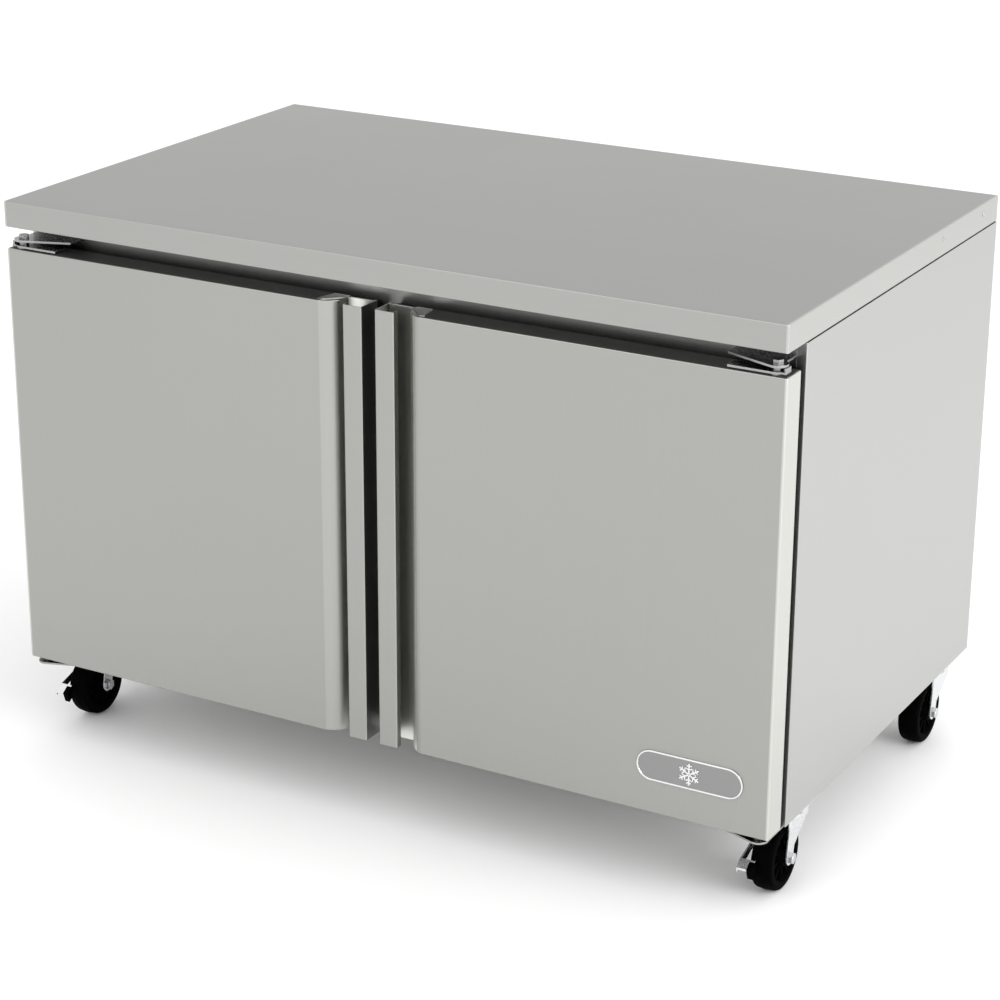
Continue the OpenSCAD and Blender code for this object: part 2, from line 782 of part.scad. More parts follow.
// Axle bolt with a flat head and a domed nut
module caster_axle() color("gray")
    translate([0, -trail, wheel_r]) {
        bar_x(axle_r, -leg_in - leg_t - 1, leg_in + leg_t + 6);
        bar_x(8, -leg_in - leg_t - 5, -leg_in - leg_t - 0.1);
        translate([leg_in + leg_t + 0.1, 0, 0]) rotate([0, 90, 0]) cylinder(r = 8.5, h = 5.5, $fn = 6);
    }

// Wheel: rounded tread, dished web and hub, turned about X
module caster_wheel() color("black")
    translate([0, -trail, wheel_r]) rotate([0, 90, 0])
        rotate_extrude($fn = 96)
            polygon(concat(
                [[axle_r + fit, -hub_half], [14, -hub_half], [16, -9], [32, -7], [36, -wheel_w / 2]],
                arc(wheel_r - 6, -wheel_w / 2 + 6, 6, -90, 0, 8),
                arc(wheel_r - 6, wheel_w / 2 - 6, 6, 0, 90, 8),
                [[36, wheel_w / 2], [32, 7], [16, 9], [14, hub_half], [axle_r + fit, hub_half]]));

pedal_pivot_y = -trail + 2;
pedal_pivot_z = wheel_r + 24;
pedal_back = -trail - 54;
pedal_tip = -trail - 67;

// Brake lever on the outside of the left leg, bent across in front of the wheel
module brake_pedal() color("silver") {
    leg_face = -leg_in - leg_t;
    translate([0, pedal_pivot_y, pedal_pivot_z]) bar_x(6, leg_face - 6, leg_face - 0.3);
    translate([leg_face - 4, 0, 0]) rotate([90, 0, 90]) linear_extrude(2.6)
        polygon([[pedal_pivot_y + 5, pedal_pivot_z - 5], [pedal_pivot_y + 3, pedal_pivot_z + 6],
                 [pedal_back, wheel_r + 12], [pedal_tip, wheel_r + 3],
                 [pedal_tip, wheel_r - 3], [pedal_back + 4, wheel_r + 1]]);
    translate([0, 0, wheel_r]) rotate([90, 0, 90]) translate([0, 0, leg_face - 4]) linear_extrude(22)
        polygon([[pedal_back, 9], [pedal_tip, 0], [pedal_tip, 3], [pedal_back, 12]]);
}

module caster_at(x, y) placed() translate([x, y, 0]) children();

module front_left_fork() caster_at(-caster_x, caster_y1) caster_fork();
module front_left_axle() caster_at(-caster_x, caster_y1) caster_axle();
module front_left_wheel() caster_at(-caster_x, caster_y1) caster_wheel();
module front_right_fork() caster_at(caster_x, caster_y1) caster_fork();
module front_right_axle() caster_at(caster_x, caster_y1) caster_axle();
module front_right_wheel() caster_at(caster_x, caster_y1) caster_wheel();
module rear_left_fork() caster_at(-caster_x, caster_y2) caster_fork();
module rear_left_axle() caster_at(-caster_x, caster_y2) caster_axle();
module rear_left_wheel() caster_at(-caster_x, caster_y2) caster_wheel();
module rear_right_fork() caster_at(caster_x, caster_y2) caster_fork();
module rear_right_axle() caster_at(caster_x, caster_y2) caster_axle();
module rear_right_wheel() caster_at(caster_x, caster_y2) caster_wheel();
module front_left_brake_pedal() caster_at(-caster_x, caster_y1) brake_pedal();
module front_right_brake_pedal() caster_at(caster_x, caster_y1) brake_pedal();

// ---------------------------------------------------------------- parts

worktop();
worktop_core();
left_side_panel();
right_side_panel();
rear_panel();
base_panel();
cabinet_foam();
inner_liner();
front_frame();
shelf_standards();
shelf_clips();
left_shelf();
right_shelf();
evaporator_cover();
evaporator_coil();
evaporator_fan_motor();
evaporator_fan_blade();
thermostat_housing();
thermostat_knob();
machine_tray();
compressor();
compressor_feet();
condenser_coil();
condenser_shroud();
condenser_fan_motor();
condenser_fan_blade();
refrigerant_pipes();
condensate_tray();
junction_box();
rear_grille();
panel_screws();
caster_plates();
caster_bolts();
top_hinge_brackets();
bottom_hinge_brackets();
left_door_skin();
left_door_liner();
left_door_foam();
left_door_gasket();
left_door_hinge_plates();
right_door_skin();
right_door_liner();
right_door_foam();
right_door_gasket();
right_door_hinge_plates();
door_badge();
front_left_fork();
front_left_axle();
front_left_wheel();
front_right_fork();
front_right_axle();
front_right_wheel();
rear_left_fork();
rear_left_axle();
rear_left_wheel();
rear_right_fork();
rear_right_axle();
rear_right_wheel();
front_left_brake_pedal();
front_right_brake_pedal();
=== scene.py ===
# %% [markdown]
# # An under counter refrigerator
# The cabinet, doors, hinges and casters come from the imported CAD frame. This script gives every part its
# finish and makes, in mesh code, the pieces whose looks depend on rounded folds, ribs and pressed details.

import json
import math

import bmesh
import bpy
from mathutils import Matrix, Vector


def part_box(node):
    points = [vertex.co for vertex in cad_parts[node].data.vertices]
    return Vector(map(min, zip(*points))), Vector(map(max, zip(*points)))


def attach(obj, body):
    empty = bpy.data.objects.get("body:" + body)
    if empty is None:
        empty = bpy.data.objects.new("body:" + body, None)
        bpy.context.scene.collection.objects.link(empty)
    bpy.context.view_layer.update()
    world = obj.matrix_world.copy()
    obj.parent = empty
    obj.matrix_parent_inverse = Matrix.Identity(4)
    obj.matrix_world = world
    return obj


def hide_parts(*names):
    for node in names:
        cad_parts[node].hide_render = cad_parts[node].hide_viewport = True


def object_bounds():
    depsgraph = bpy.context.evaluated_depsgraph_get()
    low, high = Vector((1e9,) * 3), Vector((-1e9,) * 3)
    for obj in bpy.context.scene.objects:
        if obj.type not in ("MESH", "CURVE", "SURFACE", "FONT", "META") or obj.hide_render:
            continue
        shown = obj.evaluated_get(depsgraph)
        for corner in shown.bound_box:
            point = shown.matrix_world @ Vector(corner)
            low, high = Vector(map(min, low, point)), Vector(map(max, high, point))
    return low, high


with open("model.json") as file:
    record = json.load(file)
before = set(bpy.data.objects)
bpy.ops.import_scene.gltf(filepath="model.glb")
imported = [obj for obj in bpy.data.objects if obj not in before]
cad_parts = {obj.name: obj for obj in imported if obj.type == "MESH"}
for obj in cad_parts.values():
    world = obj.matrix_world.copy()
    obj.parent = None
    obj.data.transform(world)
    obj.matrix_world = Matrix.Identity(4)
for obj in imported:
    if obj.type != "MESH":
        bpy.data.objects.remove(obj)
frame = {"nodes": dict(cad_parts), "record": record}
CAD_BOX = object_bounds()
NODES = frame["nodes"]
MM = 0.001
SIDES = {"left": -1, "right": 1}


# %% [markdown]
# ## Camera, floor and light
# The camera stands to the right of the cabinet and looks down on it through a long lens, so upright edges
# stay almost parallel. It is placed by its azimuth and height angle round an aim point near the middle.

# %% Camera
CAM_AZIMUTH = math.radians(29.19)
CAM_HEIGHT_ANGLE = math.radians(20.46)
CAM_ROLL = math.radians(0.29)
CAM_DISTANCE = 4.08
CAM_AIM = Vector((0.0034, -0.0154, 0.3775))
CAM_LENS = 98.4


def make_camera():
    data = bpy.data.cameras.new("camera")
    data.lens = CAM_LENS
    data.sensor_width = 36
    camera = bpy.data.objects.new("camera", data)
    bpy.context.scene.collection.objects.link(camera)
    back = Vector((
        math.sin(CAM_AZIMUTH) * math.cos(CAM_HEIGHT_ANGLE),
        -math.cos(CAM_AZIMUTH) * math.cos(CAM_HEIGHT_ANGLE),
        math.sin(CAM_HEIGHT_ANGLE),
    ))
    turn = back.to_track_quat("Z", "Y").to_matrix().to_4x4()
    roll = Matrix.Rotation(CAM_ROLL, 4, "Z")
    camera.matrix_world = Matrix.Translation(CAM_AIM + back * CAM_DISTANCE) @ turn @ roll
    bpy.context.scene.camera = camera
    return camera


camera = make_camera()
print("camera at", tuple(round(v, 3) for v in camera.location))


# %% [markdown]
# Steel shows what stands around it, so the room matters as much as the lamps. A pale floor and a white
# world give the calm grey of a product shot. The sky is brighter on the right, which lifts the side panel,
# and a large softbox on that side gives the casters and the hinges their highlights.

# %% World and floor
SKY_WHITE = (1.0, 1.0, 1.0, 1)
SKY_LEFT, SKY_RIGHT = 0.95, 1.3
SKY_LEVEL, SKY_OVERHEAD = 1.0, 1.1
FLOOR_HALF = 14.0
FLOOR_PAINT = (0.9, 0.9, 0.9, 1)
LAMP_AIM = Vector((0, 0, 0.4))


def ranged(nodes, links, value, span, result):
    """The value, moved from one range to another."""
    made = nodes.new("ShaderNodeMapRange")
    for label, number in zip(("From Min", "From Max", "To Min", "To Max"), (*span, *result)):
        made.inputs[label].default_value = number
    links.new(value, made.inputs["Value"])
    return made.outputs[0]


def make_world():
    world = bpy.data.worlds.new("studio")
    bpy.context.scene.world = world
    world.use_nodes = True
    nodes, links = world.node_tree.nodes, world.node_tree.links
    nodes.clear()
    coords = nodes.new("ShaderNodeTexCoord")
    split = nodes.new("ShaderNodeSeparateXYZ")
    links.new(coords.outputs["Generated"], split.inputs[0])
    product = nodes.new("ShaderNodeMath")
    product.operation = "MULTIPLY"
    side = ranged(nodes, links, split.outputs["X"], (-1, 1), (SKY_LEFT, SKY_RIGHT))
    up = ranged(nodes, links, split.outputs["Z"], (0, 1), (SKY_LEVEL, SKY_OVERHEAD))
    links.new(side, product.inputs[0])
    links.new(up, product.inputs[1])
    sky = nodes.new("ShaderNodeBackground")
    sky.inputs["Color"].default_value = SKY_WHITE
    links.new(product.outputs[0], sky.inputs["Strength"])
    out = nodes.new("ShaderNodeOutputWorld")
    links.new(sky.outputs[0], out.inputs["Surface"])


def make_floor():
    mesh = bpy.data.meshes.new("floor")
    corners = [(x * FLOOR_HALF, y * FLOOR_HALF, 0) for x, y in ((-1, -1), (1, -1), (1, 1), (-1, 1))]
    mesh.from_pydata(corners, [], [(0, 1, 2, 3)])
    floor = bpy.data.objects.new("floor", mesh)
    bpy.context.scene.collection.objects.link(floor)
    material = bpy.data.materials.new("floor_paint")
    material.use_nodes = True
    shader = material.node_tree.nodes["Principled BSDF"]
    shader.inputs["Base Color"].default_value = FLOOR_PAINT
    shader.inputs["Roughness"].default_value = 0.85
    mesh.materials.append(material)


def softbox(name, place, size, power):
    data = bpy.data.lights.new(name, "AREA")
    data.shape = "RECTANGLE"
    data.size, data.size_y = size
    data.energy = power
    lamp = bpy.data.objects.new(name, data)
    bpy.context.scene.collection.objects.link(lamp)
    turn = (Vector(place) - LAMP_AIM).to_track_quat("Z", "Y").to_matrix().to_4x4()
    lamp.matrix_world = Matrix.Translation(place) @ turn


make_world()
make_floor()
softbox("front_softbox", place=(-1.5, -5.0, 3.2), size=(4.0, 2.5), power=40)
softbox("side_softbox", place=(5.0, -1.0, 2.6), size=(3.5, 2.5), power=130)
bpy.context.scene.view_settings.view_transform = "Standard"


# %% [markdown]
# ## Shader groups
# Several finishes share an effect, so each effect is one node group with named inputs. A group only puts
# out colours, masks, values or normals; the shader itself stays in the material.

# %% Group helpers
def new_group(name, inputs, outputs):
    tree = bpy.data.node_groups.new(name, "ShaderNodeTree")
    for label, kind, default in inputs:
        socket = tree.interface.new_socket(label, in_out="INPUT", socket_type=kind)
        if default is not None:
            socket.default_value = default
    for label, kind in outputs:
        tree.interface.new_socket(label, in_out="OUTPUT", socket_type=kind)
    return tree, tree.nodes.new("NodeGroupInput"), tree.nodes.new("NodeGroupOutput")


def node(tree, kind, **values):
    made = tree.nodes.new(kind)
    for key, value in values.items():
        setattr(made, key, value)
    return made


def math_node(tree, operation, a, b=None, clamp=False):
    made = node(tree, "ShaderNodeMath", operation=operation, use_clamp=clamp)
    for index, value in enumerate((a, b)):
        if value is None:
            continue
        if isinstance(value, (int, float)):
            made.inputs[index].default_value = value
        else:
            tree.links.new(value, made.inputs[index])
    return made.outputs[0]


def scaled(tree, color, factor):
    """The colour times a number that comes from another node."""
    tint = node(tree, "ShaderNodeVectorMath", operation="SCALE")
    tree.links.new(color, tint.inputs[0])
    tree.links.new(factor, tint.inputs["Scale"])
    return tint.outputs[0]


def noise(tree, place, detail, scale):
    """3D noise at the place. Its scale is a number, or a socket that carries one."""
    made = node(tree, "ShaderNodeTexNoise", noise_dimensions="3D")
    made.inputs["Detail"].default_value = detail
    tree.links.new(place, made.inputs["Vector"])
    if isinstance(scale, (int, float)):
        made.inputs["Scale"].default_value = scale
    else:
        tree.links.new(scale, made.inputs["Scale"])
    return made


def around_zero(tree, pattern):
    return math_node(tree, "SUBTRACT", pattern.outputs["Fac"], 0.5)


def relief(tree, height, strength, distance):
    """The normal of a surface with fine relief on it."""
    bump = node(tree, "ShaderNodeBump")
    bump.inputs["Distance"].default_value = distance
    tree.links.new(strength, bump.inputs["Strength"])
    tree.links.new(height, bump.inputs["Height"])
    return bump.outputs[0]


FLOAT = "NodeSocketFloat"
COLOR = "NodeSocketColor"
VECTOR = "NodeSocketVector"


# %% [markdown]
# **Brushed grain.** Rolled stainless sheet is finished with an abrasive belt, which leaves fine parallel
# scratches. Noise that is stretched along the belt's direction gives them without any image. A second,
# broad noise varies the gloss the way wiped steel does.

# %% Brushed grain group
SCRATCH_DEPTH = 0.00005
WIPE_SCALE, WIPE_SWIRL, WIPE_TONE = 2.6, 0.6, 0.05


def brushed_grain_group():
    tree, given, out = new_group(
        "brushed_grain",
        [("Color", COLOR, (0.6, 0.6, 0.6, 1)), ("Grain Scale", VECTOR, (1, 1, 1)),
         ("Roughness", FLOAT, 0.3), ("Depth", FLOAT, 0.1), ("Contrast", FLOAT, 0.06)],
        [("Color", COLOR), ("Roughness", FLOAT), ("Normal", VECTOR)])
    coords = node(tree, "ShaderNodeTexCoord")
    stretch = node(tree, "ShaderNodeVectorMath", operation="MULTIPLY")
    tree.links.new(coords.outputs["Object"], stretch.inputs[0])
    tree.links.new(given.outputs["Grain Scale"], stretch.inputs[1])
    streaks = noise(tree, stretch.outputs[0], 3.0, 1.0)
    wipes = noise(tree, coords.outputs["Object"], 4.0, WIPE_SCALE)
    wipes.inputs["Distortion"].default_value = WIPE_SWIRL
    signed = around_zero(tree, streaks)
    change = math_node(tree, "MULTIPLY", signed, given.outputs["Contrast"])
    broad = math_node(tree, "MULTIPLY", around_zero(tree, wipes), WIPE_TONE)
    factor = math_node(tree, "ADD", math_node(tree, "ADD", change, broad), 1.0)
    tree.links.new(scaled(tree, given.outputs["Color"], factor), out.inputs["Color"])
    gloss = math_node(tree, "ADD", math_node(tree, "MULTIPLY", signed, 0.10),
                      math_node(tree, "MULTIPLY", broad, 1.4))
    tree.links.new(math_node(tree, "ADD", gloss, given.outputs["Roughness"], True), out.inputs["Roughness"])
    tree.links.new(relief(tree, streaks.outputs["Fac"], given.outputs["Depth"], SCRATCH_DEPTH),
                   out.inputs["Normal"])
    return tree


# %% [markdown]
# ** Edge highlight.** A cut edge is never perfectly sharp. The Bevel node gives the rounded normal that the
# edge would have, and the angle between that normal and the flat one is a mask that is white only along
# edges. The metal finishes use this mask to paint a highlight into their colour along every edge.

# %% Edge highlight group
EDGE_CONTRAST = 4.0


def edge_highlight_group():
    tree, given, out = new_group(
        "edge_highlight", [("Radius", FLOAT, 0.001)], [("Mask", FLOAT), ("Normal", VECTOR)])
    rounded = node(tree, "ShaderNodeBevel", samples=4)
    tree.links.new(given.outputs["Radius"], rounded.inputs["Radius"])
    flat = node(tree, "ShaderNodeNewGeometry")
    dot = node(tree, "ShaderNodeVectorMath", operation="DOT_PRODUCT")
    tree.links.new(rounded.outputs[0], dot.inputs[0])
    tree.links.new(flat.outputs["Normal"], dot.inputs[1])
    away = math_node(tree, "SUBTRACT", 1.0, dot.outputs["Value"])
    tree.links.new(math_node(tree, "MULTIPLY", away, EDGE_CONTRAST, True), out.inputs["Mask"])
    tree.links.new(rounded.outputs[0], out.inputs["Normal"])
    return tree


# %% [markdown]
# **Surface texture.** Moulded plastic, rubber, enamel and foam all have a fine random skin. One group with
# a cell size, a depth and a tone change serves them all with different values.

# %% Fine texture group
DUST = (0.35, 0.34, 0.32, 1)
CLOUD_SCALE = 9.0
SKIN_DEPTH = 0.0002


def fine_texture_group():
    tree, given, out = new_group(
        "fine_texture",
        [("Color", COLOR, (0.5, 0.5, 0.5, 1)), ("Scale", FLOAT, 400.0), ("Depth", FLOAT, 0.2),
         ("Contrast", FLOAT, 0.1), ("Roughness", FLOAT, 0.5), ("Dust", FLOAT, 0.0)],
        [("Color", COLOR), ("Roughness", FLOAT), ("Normal", VECTOR)])
    coords = node(tree, "ShaderNodeTexCoord")
    skin = noise(tree, coords.outputs["Object"], 3.0, given.outputs["Scale"])
    cloud = noise(tree, coords.outputs["Object"], 3.0, CLOUD_SCALE)
    mixed = math_node(tree, "ADD", around_zero(tree, skin), around_zero(tree, cloud))
    factor = math_node(tree, "ADD", math_node(tree, "MULTIPLY", mixed, given.outputs["Contrast"]), 1.0)
    facing = node(tree, "ShaderNodeNewGeometry")
    split = node(tree, "ShaderNodeSeparateXYZ")
    tree.links.new(facing.outputs["Normal"], split.inputs[0])
    lying = math_node(tree, "MULTIPLY", math_node(tree, "MAXIMUM", split.outputs["Z"], 0.0),
                      math_node(tree, "MULTIPLY", cloud.outputs["Fac"], given.outputs["Dust"]))
    dusty = node(tree, "ShaderNodeMix", data_type="RGBA")
    dusty.inputs["B"].default_value = DUST
    tree.links.new(lying, dusty.inputs["Factor"])
    tree.links.new(scaled(tree, given.outputs["Color"], factor), dusty.inputs["A"])
    tree.links.new(dusty.outputs["Result"], out.inputs["Color"])
    rough = math_node(tree, "ADD", math_node(tree, "MULTIPLY", mixed, 0.12), given.outputs["Roughness"], True)
    tree.links.new(rough, out.inputs["Roughness"])
    tree.links.new(relief(tree, skin.outputs["Fac"], given.outputs["Depth"], SKIN_DEPTH),
                   out.inputs["Normal"])
    return tree


# %% [markdown]
# **Spangle.** Hot-dip galvanised sheet freezes into crystals that each catch the light differently. Voronoi
# cells with a random tone per cell are exactly that.

# %% Spangle group
DARKEST_CRYSTAL, TONE_SPREAD, GLOSS_SPREAD = 0.93, 0.11, 0.14


def spangle_group():
    tree, given, out = new_group(
        "spangle", [("Color", COLOR, (0.6, 0.6, 0.6, 1)), ("Scale", FLOAT, 90.0), ("Roughness", FLOAT, 0.35)],
        [("Color", COLOR), ("Roughness", FLOAT)])
    coords = node(tree, "ShaderNodeTexCoord")
    cells = node(tree, "ShaderNodeTexVoronoi", feature="F1")
    tree.links.new(coords.outputs["Object"], cells.inputs["Vector"])
    tree.links.new(given.outputs["Scale"], cells.inputs["Scale"])
    tone = node(tree, "ShaderNodeSeparateColor")
    tree.links.new(cells.outputs["Color"], tone.inputs[0])
    spread = math_node(tree, "MULTIPLY", tone.outputs[0], TONE_SPREAD)
    factor = math_node(tree, "ADD", spread, DARKEST_CRYSTAL)
    tree.links.new(scaled(tree, given.outputs["Color"], factor), out.inputs["Color"])
    gloss = math_node(tree, "MULTIPLY", tone.outputs[1], GLOSS_SPREAD)
    tree.links.new(math_node(tree, "ADD", gloss, given.outputs["Roughness"]), out.inputs["Roughness"])
    return tree


GROUPS = {
    "grain": brushed_grain_group(),
    "edges": edge_highlight_group(),
    "texture": fine_texture_group(),
    "spangle": spangle_group(),
}
print("groups", sorted(GROUPS))


# %% [markdown]
# ## Finishes
# One short function makes each family of finish, and every slot of the record gets its own material.

# %% Material helpers
def blank_material(name):
    material = bpy.data.materials.new(name)
    material.use_nodes = True
    return material, material.node_tree, material.node_tree.nodes["Principled BSDF"]


def place_group(tree, key, **values):
    made = node(tree, "ShaderNodeGroup")
    made.node_tree = GROUPS[key]
    for label, value in values.items():
        made.inputs[label.replace("_", " ")].default_value = value
    return made


def rgba(color):
    return (*color, 1)


# %% [markdown]
# ** Sheet and plated metal.** The grain runs along one axis of the part. Edges get a painted highlight, and
# their rounded normal is what catches the light along a fold. Narrow gaps get painted shade, so the colour
# falls off where surfaces crowd together. Painted light lifts the outer end faces, slopes that face right and
# the pull recess, and painted shade dims the worktop's top.

# %% Metal
ALONG = {"x": (4, 900, 900), "y": (900, 4, 900), "z": (900, 900, 4), "all": (260, 260, 260)}
END_FACE = 0.6065
SHADE_CURVE = 0.45
FACING_RIGHT = 0.1
RECESS_SPAN = (0.011, 0.088)
RECESS_FRONT = -0.3705
FACING_UP = 0.9


def painted_crevice_shade(tree, color, reach):
    """Painted shade: the colour, darkened where other surfaces stand closer than the reach."""
    open_sky = node(tree, "ShaderNodeAmbientOcclusion", samples=4)
    open_sky.inputs["Distance"].default_value = reach
    return scaled(tree, color, math_node(tree, "POWER", open_sky.outputs["AO"], SHADE_CURVE))


def gained(tree, color, measure, limit, gain):
    """The colour times the gain where the measure is above the limit."""
    mask = math_node(tree, "GREATER_THAN", measure, limit)
    return scaled(tree, color, math_node(tree, "ADD", math_node(tree, "MULTIPLY", mask, gain - 1), 1.0))


def painted_light_by_place(tree, color, painted_end_light_gain, painted_top_shade_gain, painted_right_light_gain, painted_recess_light_gain):
    """Painted light and shade by place: gains on the end faces, on faces that look up, on slopes that face
    right and deep in the recess.
    """
    place = node(tree, "ShaderNodeSeparateXYZ")
    tree.links.new(node(tree, "ShaderNodeTexCoord").outputs["Object"], place.inputs[0])
    facing = node(tree, "ShaderNodeSeparateXYZ")
    tree.links.new(node(tree, "ShaderNodeNewGeometry").outputs["Normal"], facing.inputs[0])
    out = math_node(tree, "ABSOLUTE", place.outputs["X"])
    color = gained(tree, color, out, END_FACE, painted_end_light_gain)
    inside = math_node(tree, "GREATER_THAN", out, RECESS_SPAN[0])
    for measure, operation, limit in ((out, "LESS_THAN", RECESS_SPAN[1]),
                                      (place.outputs["Y"], "GREATER_THAN", RECESS_FRONT),
                                      (facing.outputs["X"], "LESS_THAN", FACING_RIGHT)):
        inside = math_node(tree, "MULTIPLY", inside, math_node(tree, operation, measure, limit))
    color = gained(tree, color, inside, 0.5, painted_recess_light_gain)
    color = gained(tree, color, facing.outputs["X"], FACING_RIGHT, painted_right_light_gain)
    return gained(tree, color, facing.outputs["Z"], FACING_UP, painted_top_shade_gain)


def metal(name, color, roughness, along, depth=0.12, contrast=0.06, edge=0.0008, edge_highlight_gain=1.35,
          reach=0.0, painted_end_light_gain=1.0, painted_top_shade_gain=1.0, painted_right_light_gain=1.0, painted_recess_light_gain=1.0):
    material, tree, shader = blank_material(name)
    grain = place_group(tree, "grain", Color=rgba(color), Grain_Scale=ALONG[along], Roughness=roughness,
                        Depth=depth, Contrast=contrast)
    edges = place_group(tree, "edges", Radius=edge)
    # Painted highlight: the colour is brightened along the edges by the edge mask.
    edge_highlight_mix = node(tree, "ShaderNodeMix", data_type="RGBA")
    edge_highlight_mix.inputs["B"].default_value = rgba([min(1.0, c * edge_highlight_gain) for c in color])
    tree.links.new(edges.outputs["Mask"], edge_highlight_mix.inputs["Factor"])
    tree.links.new(grain.outputs["Color"], edge_highlight_mix.inputs["A"])
    tinted = edge_highlight_mix.outputs["Result"]
    # Painted light and shade: end faces, right-facing slopes and the pull recess are lifted; up-facing faces
    # take their own gain.
    if painted_end_light_gain != 1.0:
        tinted = painted_light_by_place(tree, tinted, painted_end_light_gain, painted_top_shade_gain, painted_right_light_gain, painted_recess_light_gain)
    # Painted shade: the colour darkens in gaps, recesses and under overhangs.
    if reach:
        tinted = painted_crevice_shade(tree, tinted, reach)
    tree.links.new(tinted, shader.inputs["Base Color"])
    tree.links.new(grain.outputs["Roughness"], shader.inputs["Roughness"])
    blend = node(tree, "ShaderNodeMix", data_type="VECTOR")
    tree.links.new(edges.outputs["Mask"], blend.inputs["Factor"])
    tree.links.new(grain.outputs["Normal"], blend.inputs["A"])
    tree.links.new(edges.outputs["Normal"], blend.inputs["B"])
    tree.links.new(blend.outputs["Result"], shader.inputs["Normal"])
    shader.inputs["Metallic"].default_value = 1.0
    return material


# %% [markdown]
# **Textured solids.** Plastic, rubber, enamel, foam and board: a base colour with a fine skin on it.

# %% Plastic, rubber and paint
def textured(name, color, roughness, scale, depth, contrast, dust=0.0, specular=0.5, coat=0.0):
    material, tree, shader = blank_material(name)
    skin = place_group(tree, "texture", Color=rgba(color), Scale=scale, Depth=depth, Contrast=contrast,
                       Roughness=roughness, Dust=dust)
    tree.links.new(skin.outputs["Color"], shader.inputs["Base Color"])
    tree.links.new(skin.outputs["Roughness"], shader.inputs["Roughness"])
    tree.links.new(skin.outputs["Normal"], shader.inputs["Normal"])
    shader.inputs["Specular IOR Level"].default_value = specular
    shader.inputs["Coat Weight"].default_value = coat
    return material


# %% [markdown]
# **Galvanised sheet.** The hidden panels and the machine parts are bare zinc-coated steel with its crystals.

# %% Galvanised sheet
def galvanised(name, color, cell_scale, roughness, edge):
    material, tree, shader = blank_material(name)
    cells = place_group(tree, "spangle", Color=rgba(color), Scale=cell_scale, Roughness=roughness)
    edges = place_group(tree, "edges", Radius=edge)
    tree.links.new(cells.outputs["Color"], shader.inputs["Base Color"])
    tree.links.new(cells.outputs["Roughness"], shader.inputs["Roughness"])
    tree.links.new(edges.outputs["Normal"], shader.inputs["Normal"])
    shader.inputs["Metallic"].default_value = 1.0
    return material


# %% [markdown]
# ** All finishes.** Every slot of the record has its own finish. The sheet steels differ in the direction
# of their grain and in how much painted light and shade they get by place, along edges and in gaps. The
# rest differ in colour and skin.

# %% All finishes
FINISH = {
    "worktop_steel": metal("worktop_steel", (0.376, 0.380, 0.363), 0.34, "x", reach=0.03, painted_end_light_gain=1.32,
                           painted_top_shade_gain=0.75),
    "door_steel": metal("door_steel", (0.368, 0.372, 0.350), 0.32, "z", edge_highlight_gain=1.5, reach=0.03,
                        painted_end_light_gain=1.42, painted_right_light_gain=1.11, painted_recess_light_gain=2.1),
    # Painted light: the side steel is a lighter copy of the door steel, for the sides lit from the right.
    "side_steel": metal("side_steel", (0.474, 0.474, 0.464), 0.32, "z", reach=0.03),
    "galvanised_steel": galvanised("galvanised_steel", (0.58, 0.59, 0.60), 105.0, 0.3, 0.0008),
    "core_board": textured("core_board", (0.52, 0.40, 0.26), 0.85, 160, 0.5, 0.4),
    "foam": textured("foam", (0.34, 0.31, 0.25), 0.9, 700, 0.6, 0.15),
    "liner_white": textured("liner_white", (0.66, 0.67, 0.67), 0.36, 260, 0.08, 0.03, coat=0.15),
    "shelf_coating": textured("shelf_coating", (0.74, 0.75, 0.76), 0.38, 500, 0.12, 0.06, coat=0.4),
    # Painted highlight: the hinge steel gets the strongest brightening along its edges.
    "hinge_steel": metal("hinge_steel", (0.36, 0.36, 0.36), 0.26, "all", 0.08, 0.10, 0.0007, 2.2, 0.03),
    "screw_steel": metal("screw_steel", (0.55, 0.55, 0.55), 0.26, "all", 0.08, 0.10, 0.0004),
    "coil_aluminium": metal("coil_aluminium", (0.76, 0.77, 0.78), 0.34, "all", 0.10, 0.10, 0.0002),
    "motor_dark": textured("motor_dark", (0.05, 0.05, 0.055), 0.42, 350, 0.2, 0.15, 0.35),
    "fan_plastic": textured("fan_plastic", (0.035, 0.035, 0.037), 0.45, 500, 0.15, 0.12, 0.2),
    "control_plastic": textured("control_plastic", (0.76, 0.76, 0.74), 0.45, 600, 0.2, 0.04),
    "knob_plastic": textured("knob_plastic", (0.022, 0.022, 0.023), 0.3, 600, 0.1, 0.08),
    "tray_plastic": textured("tray_plastic", (0.03, 0.03, 0.032), 0.5, 400, 0.2, 0.12, 0.4),
    "compressor_black": textured("compressor_black", (0.018, 0.018, 0.019), 0.28, 120, 0.1, 0.15, 0.3,
                                 coat=0.5),
    "foot_rubber": textured("foot_rubber", (0.02, 0.02, 0.02), 0.7, 700, 0.3, 0.15, 0.2),
    "copper": metal("copper", (0.78, 0.42, 0.27), 0.3, "all", 0.08, 0.16, 0.0002),
    "gasket_rubber": textured("gasket_rubber", (0.004, 0.004, 0.004), 0.6, 900, 0.25, 0.12, specular=0.25),
    "cap_plastic": textured("cap_plastic", (0.032, 0.032, 0.031), 0.5, 700, 0.2, 0.1, specular=0.4),
    "badge_chrome": metal("badge_chrome", (0.80, 0.80, 0.80), 0.12, "all", 0.02, 0.03, 0.0006, reach=0.003),
    "badge_satin": metal("badge_satin", (0.30, 0.30, 0.30), 0.42, "all", 0.06, 0.06, 0.0004),
    "caster_zinc": metal("caster_zinc", (0.74, 0.75, 0.76), 0.26, "all", 0.08, 0.14, 0.0007),
    "axle_zinc": metal("axle_zinc", (0.60, 0.60, 0.61), 0.28, "all", 0.08, 0.12, 0.0005),
    "wheel_black": textured("wheel_black", (0.001, 0.001, 0.001), 0.6, 500, 0.2, 0.15, specular=0.01),
}

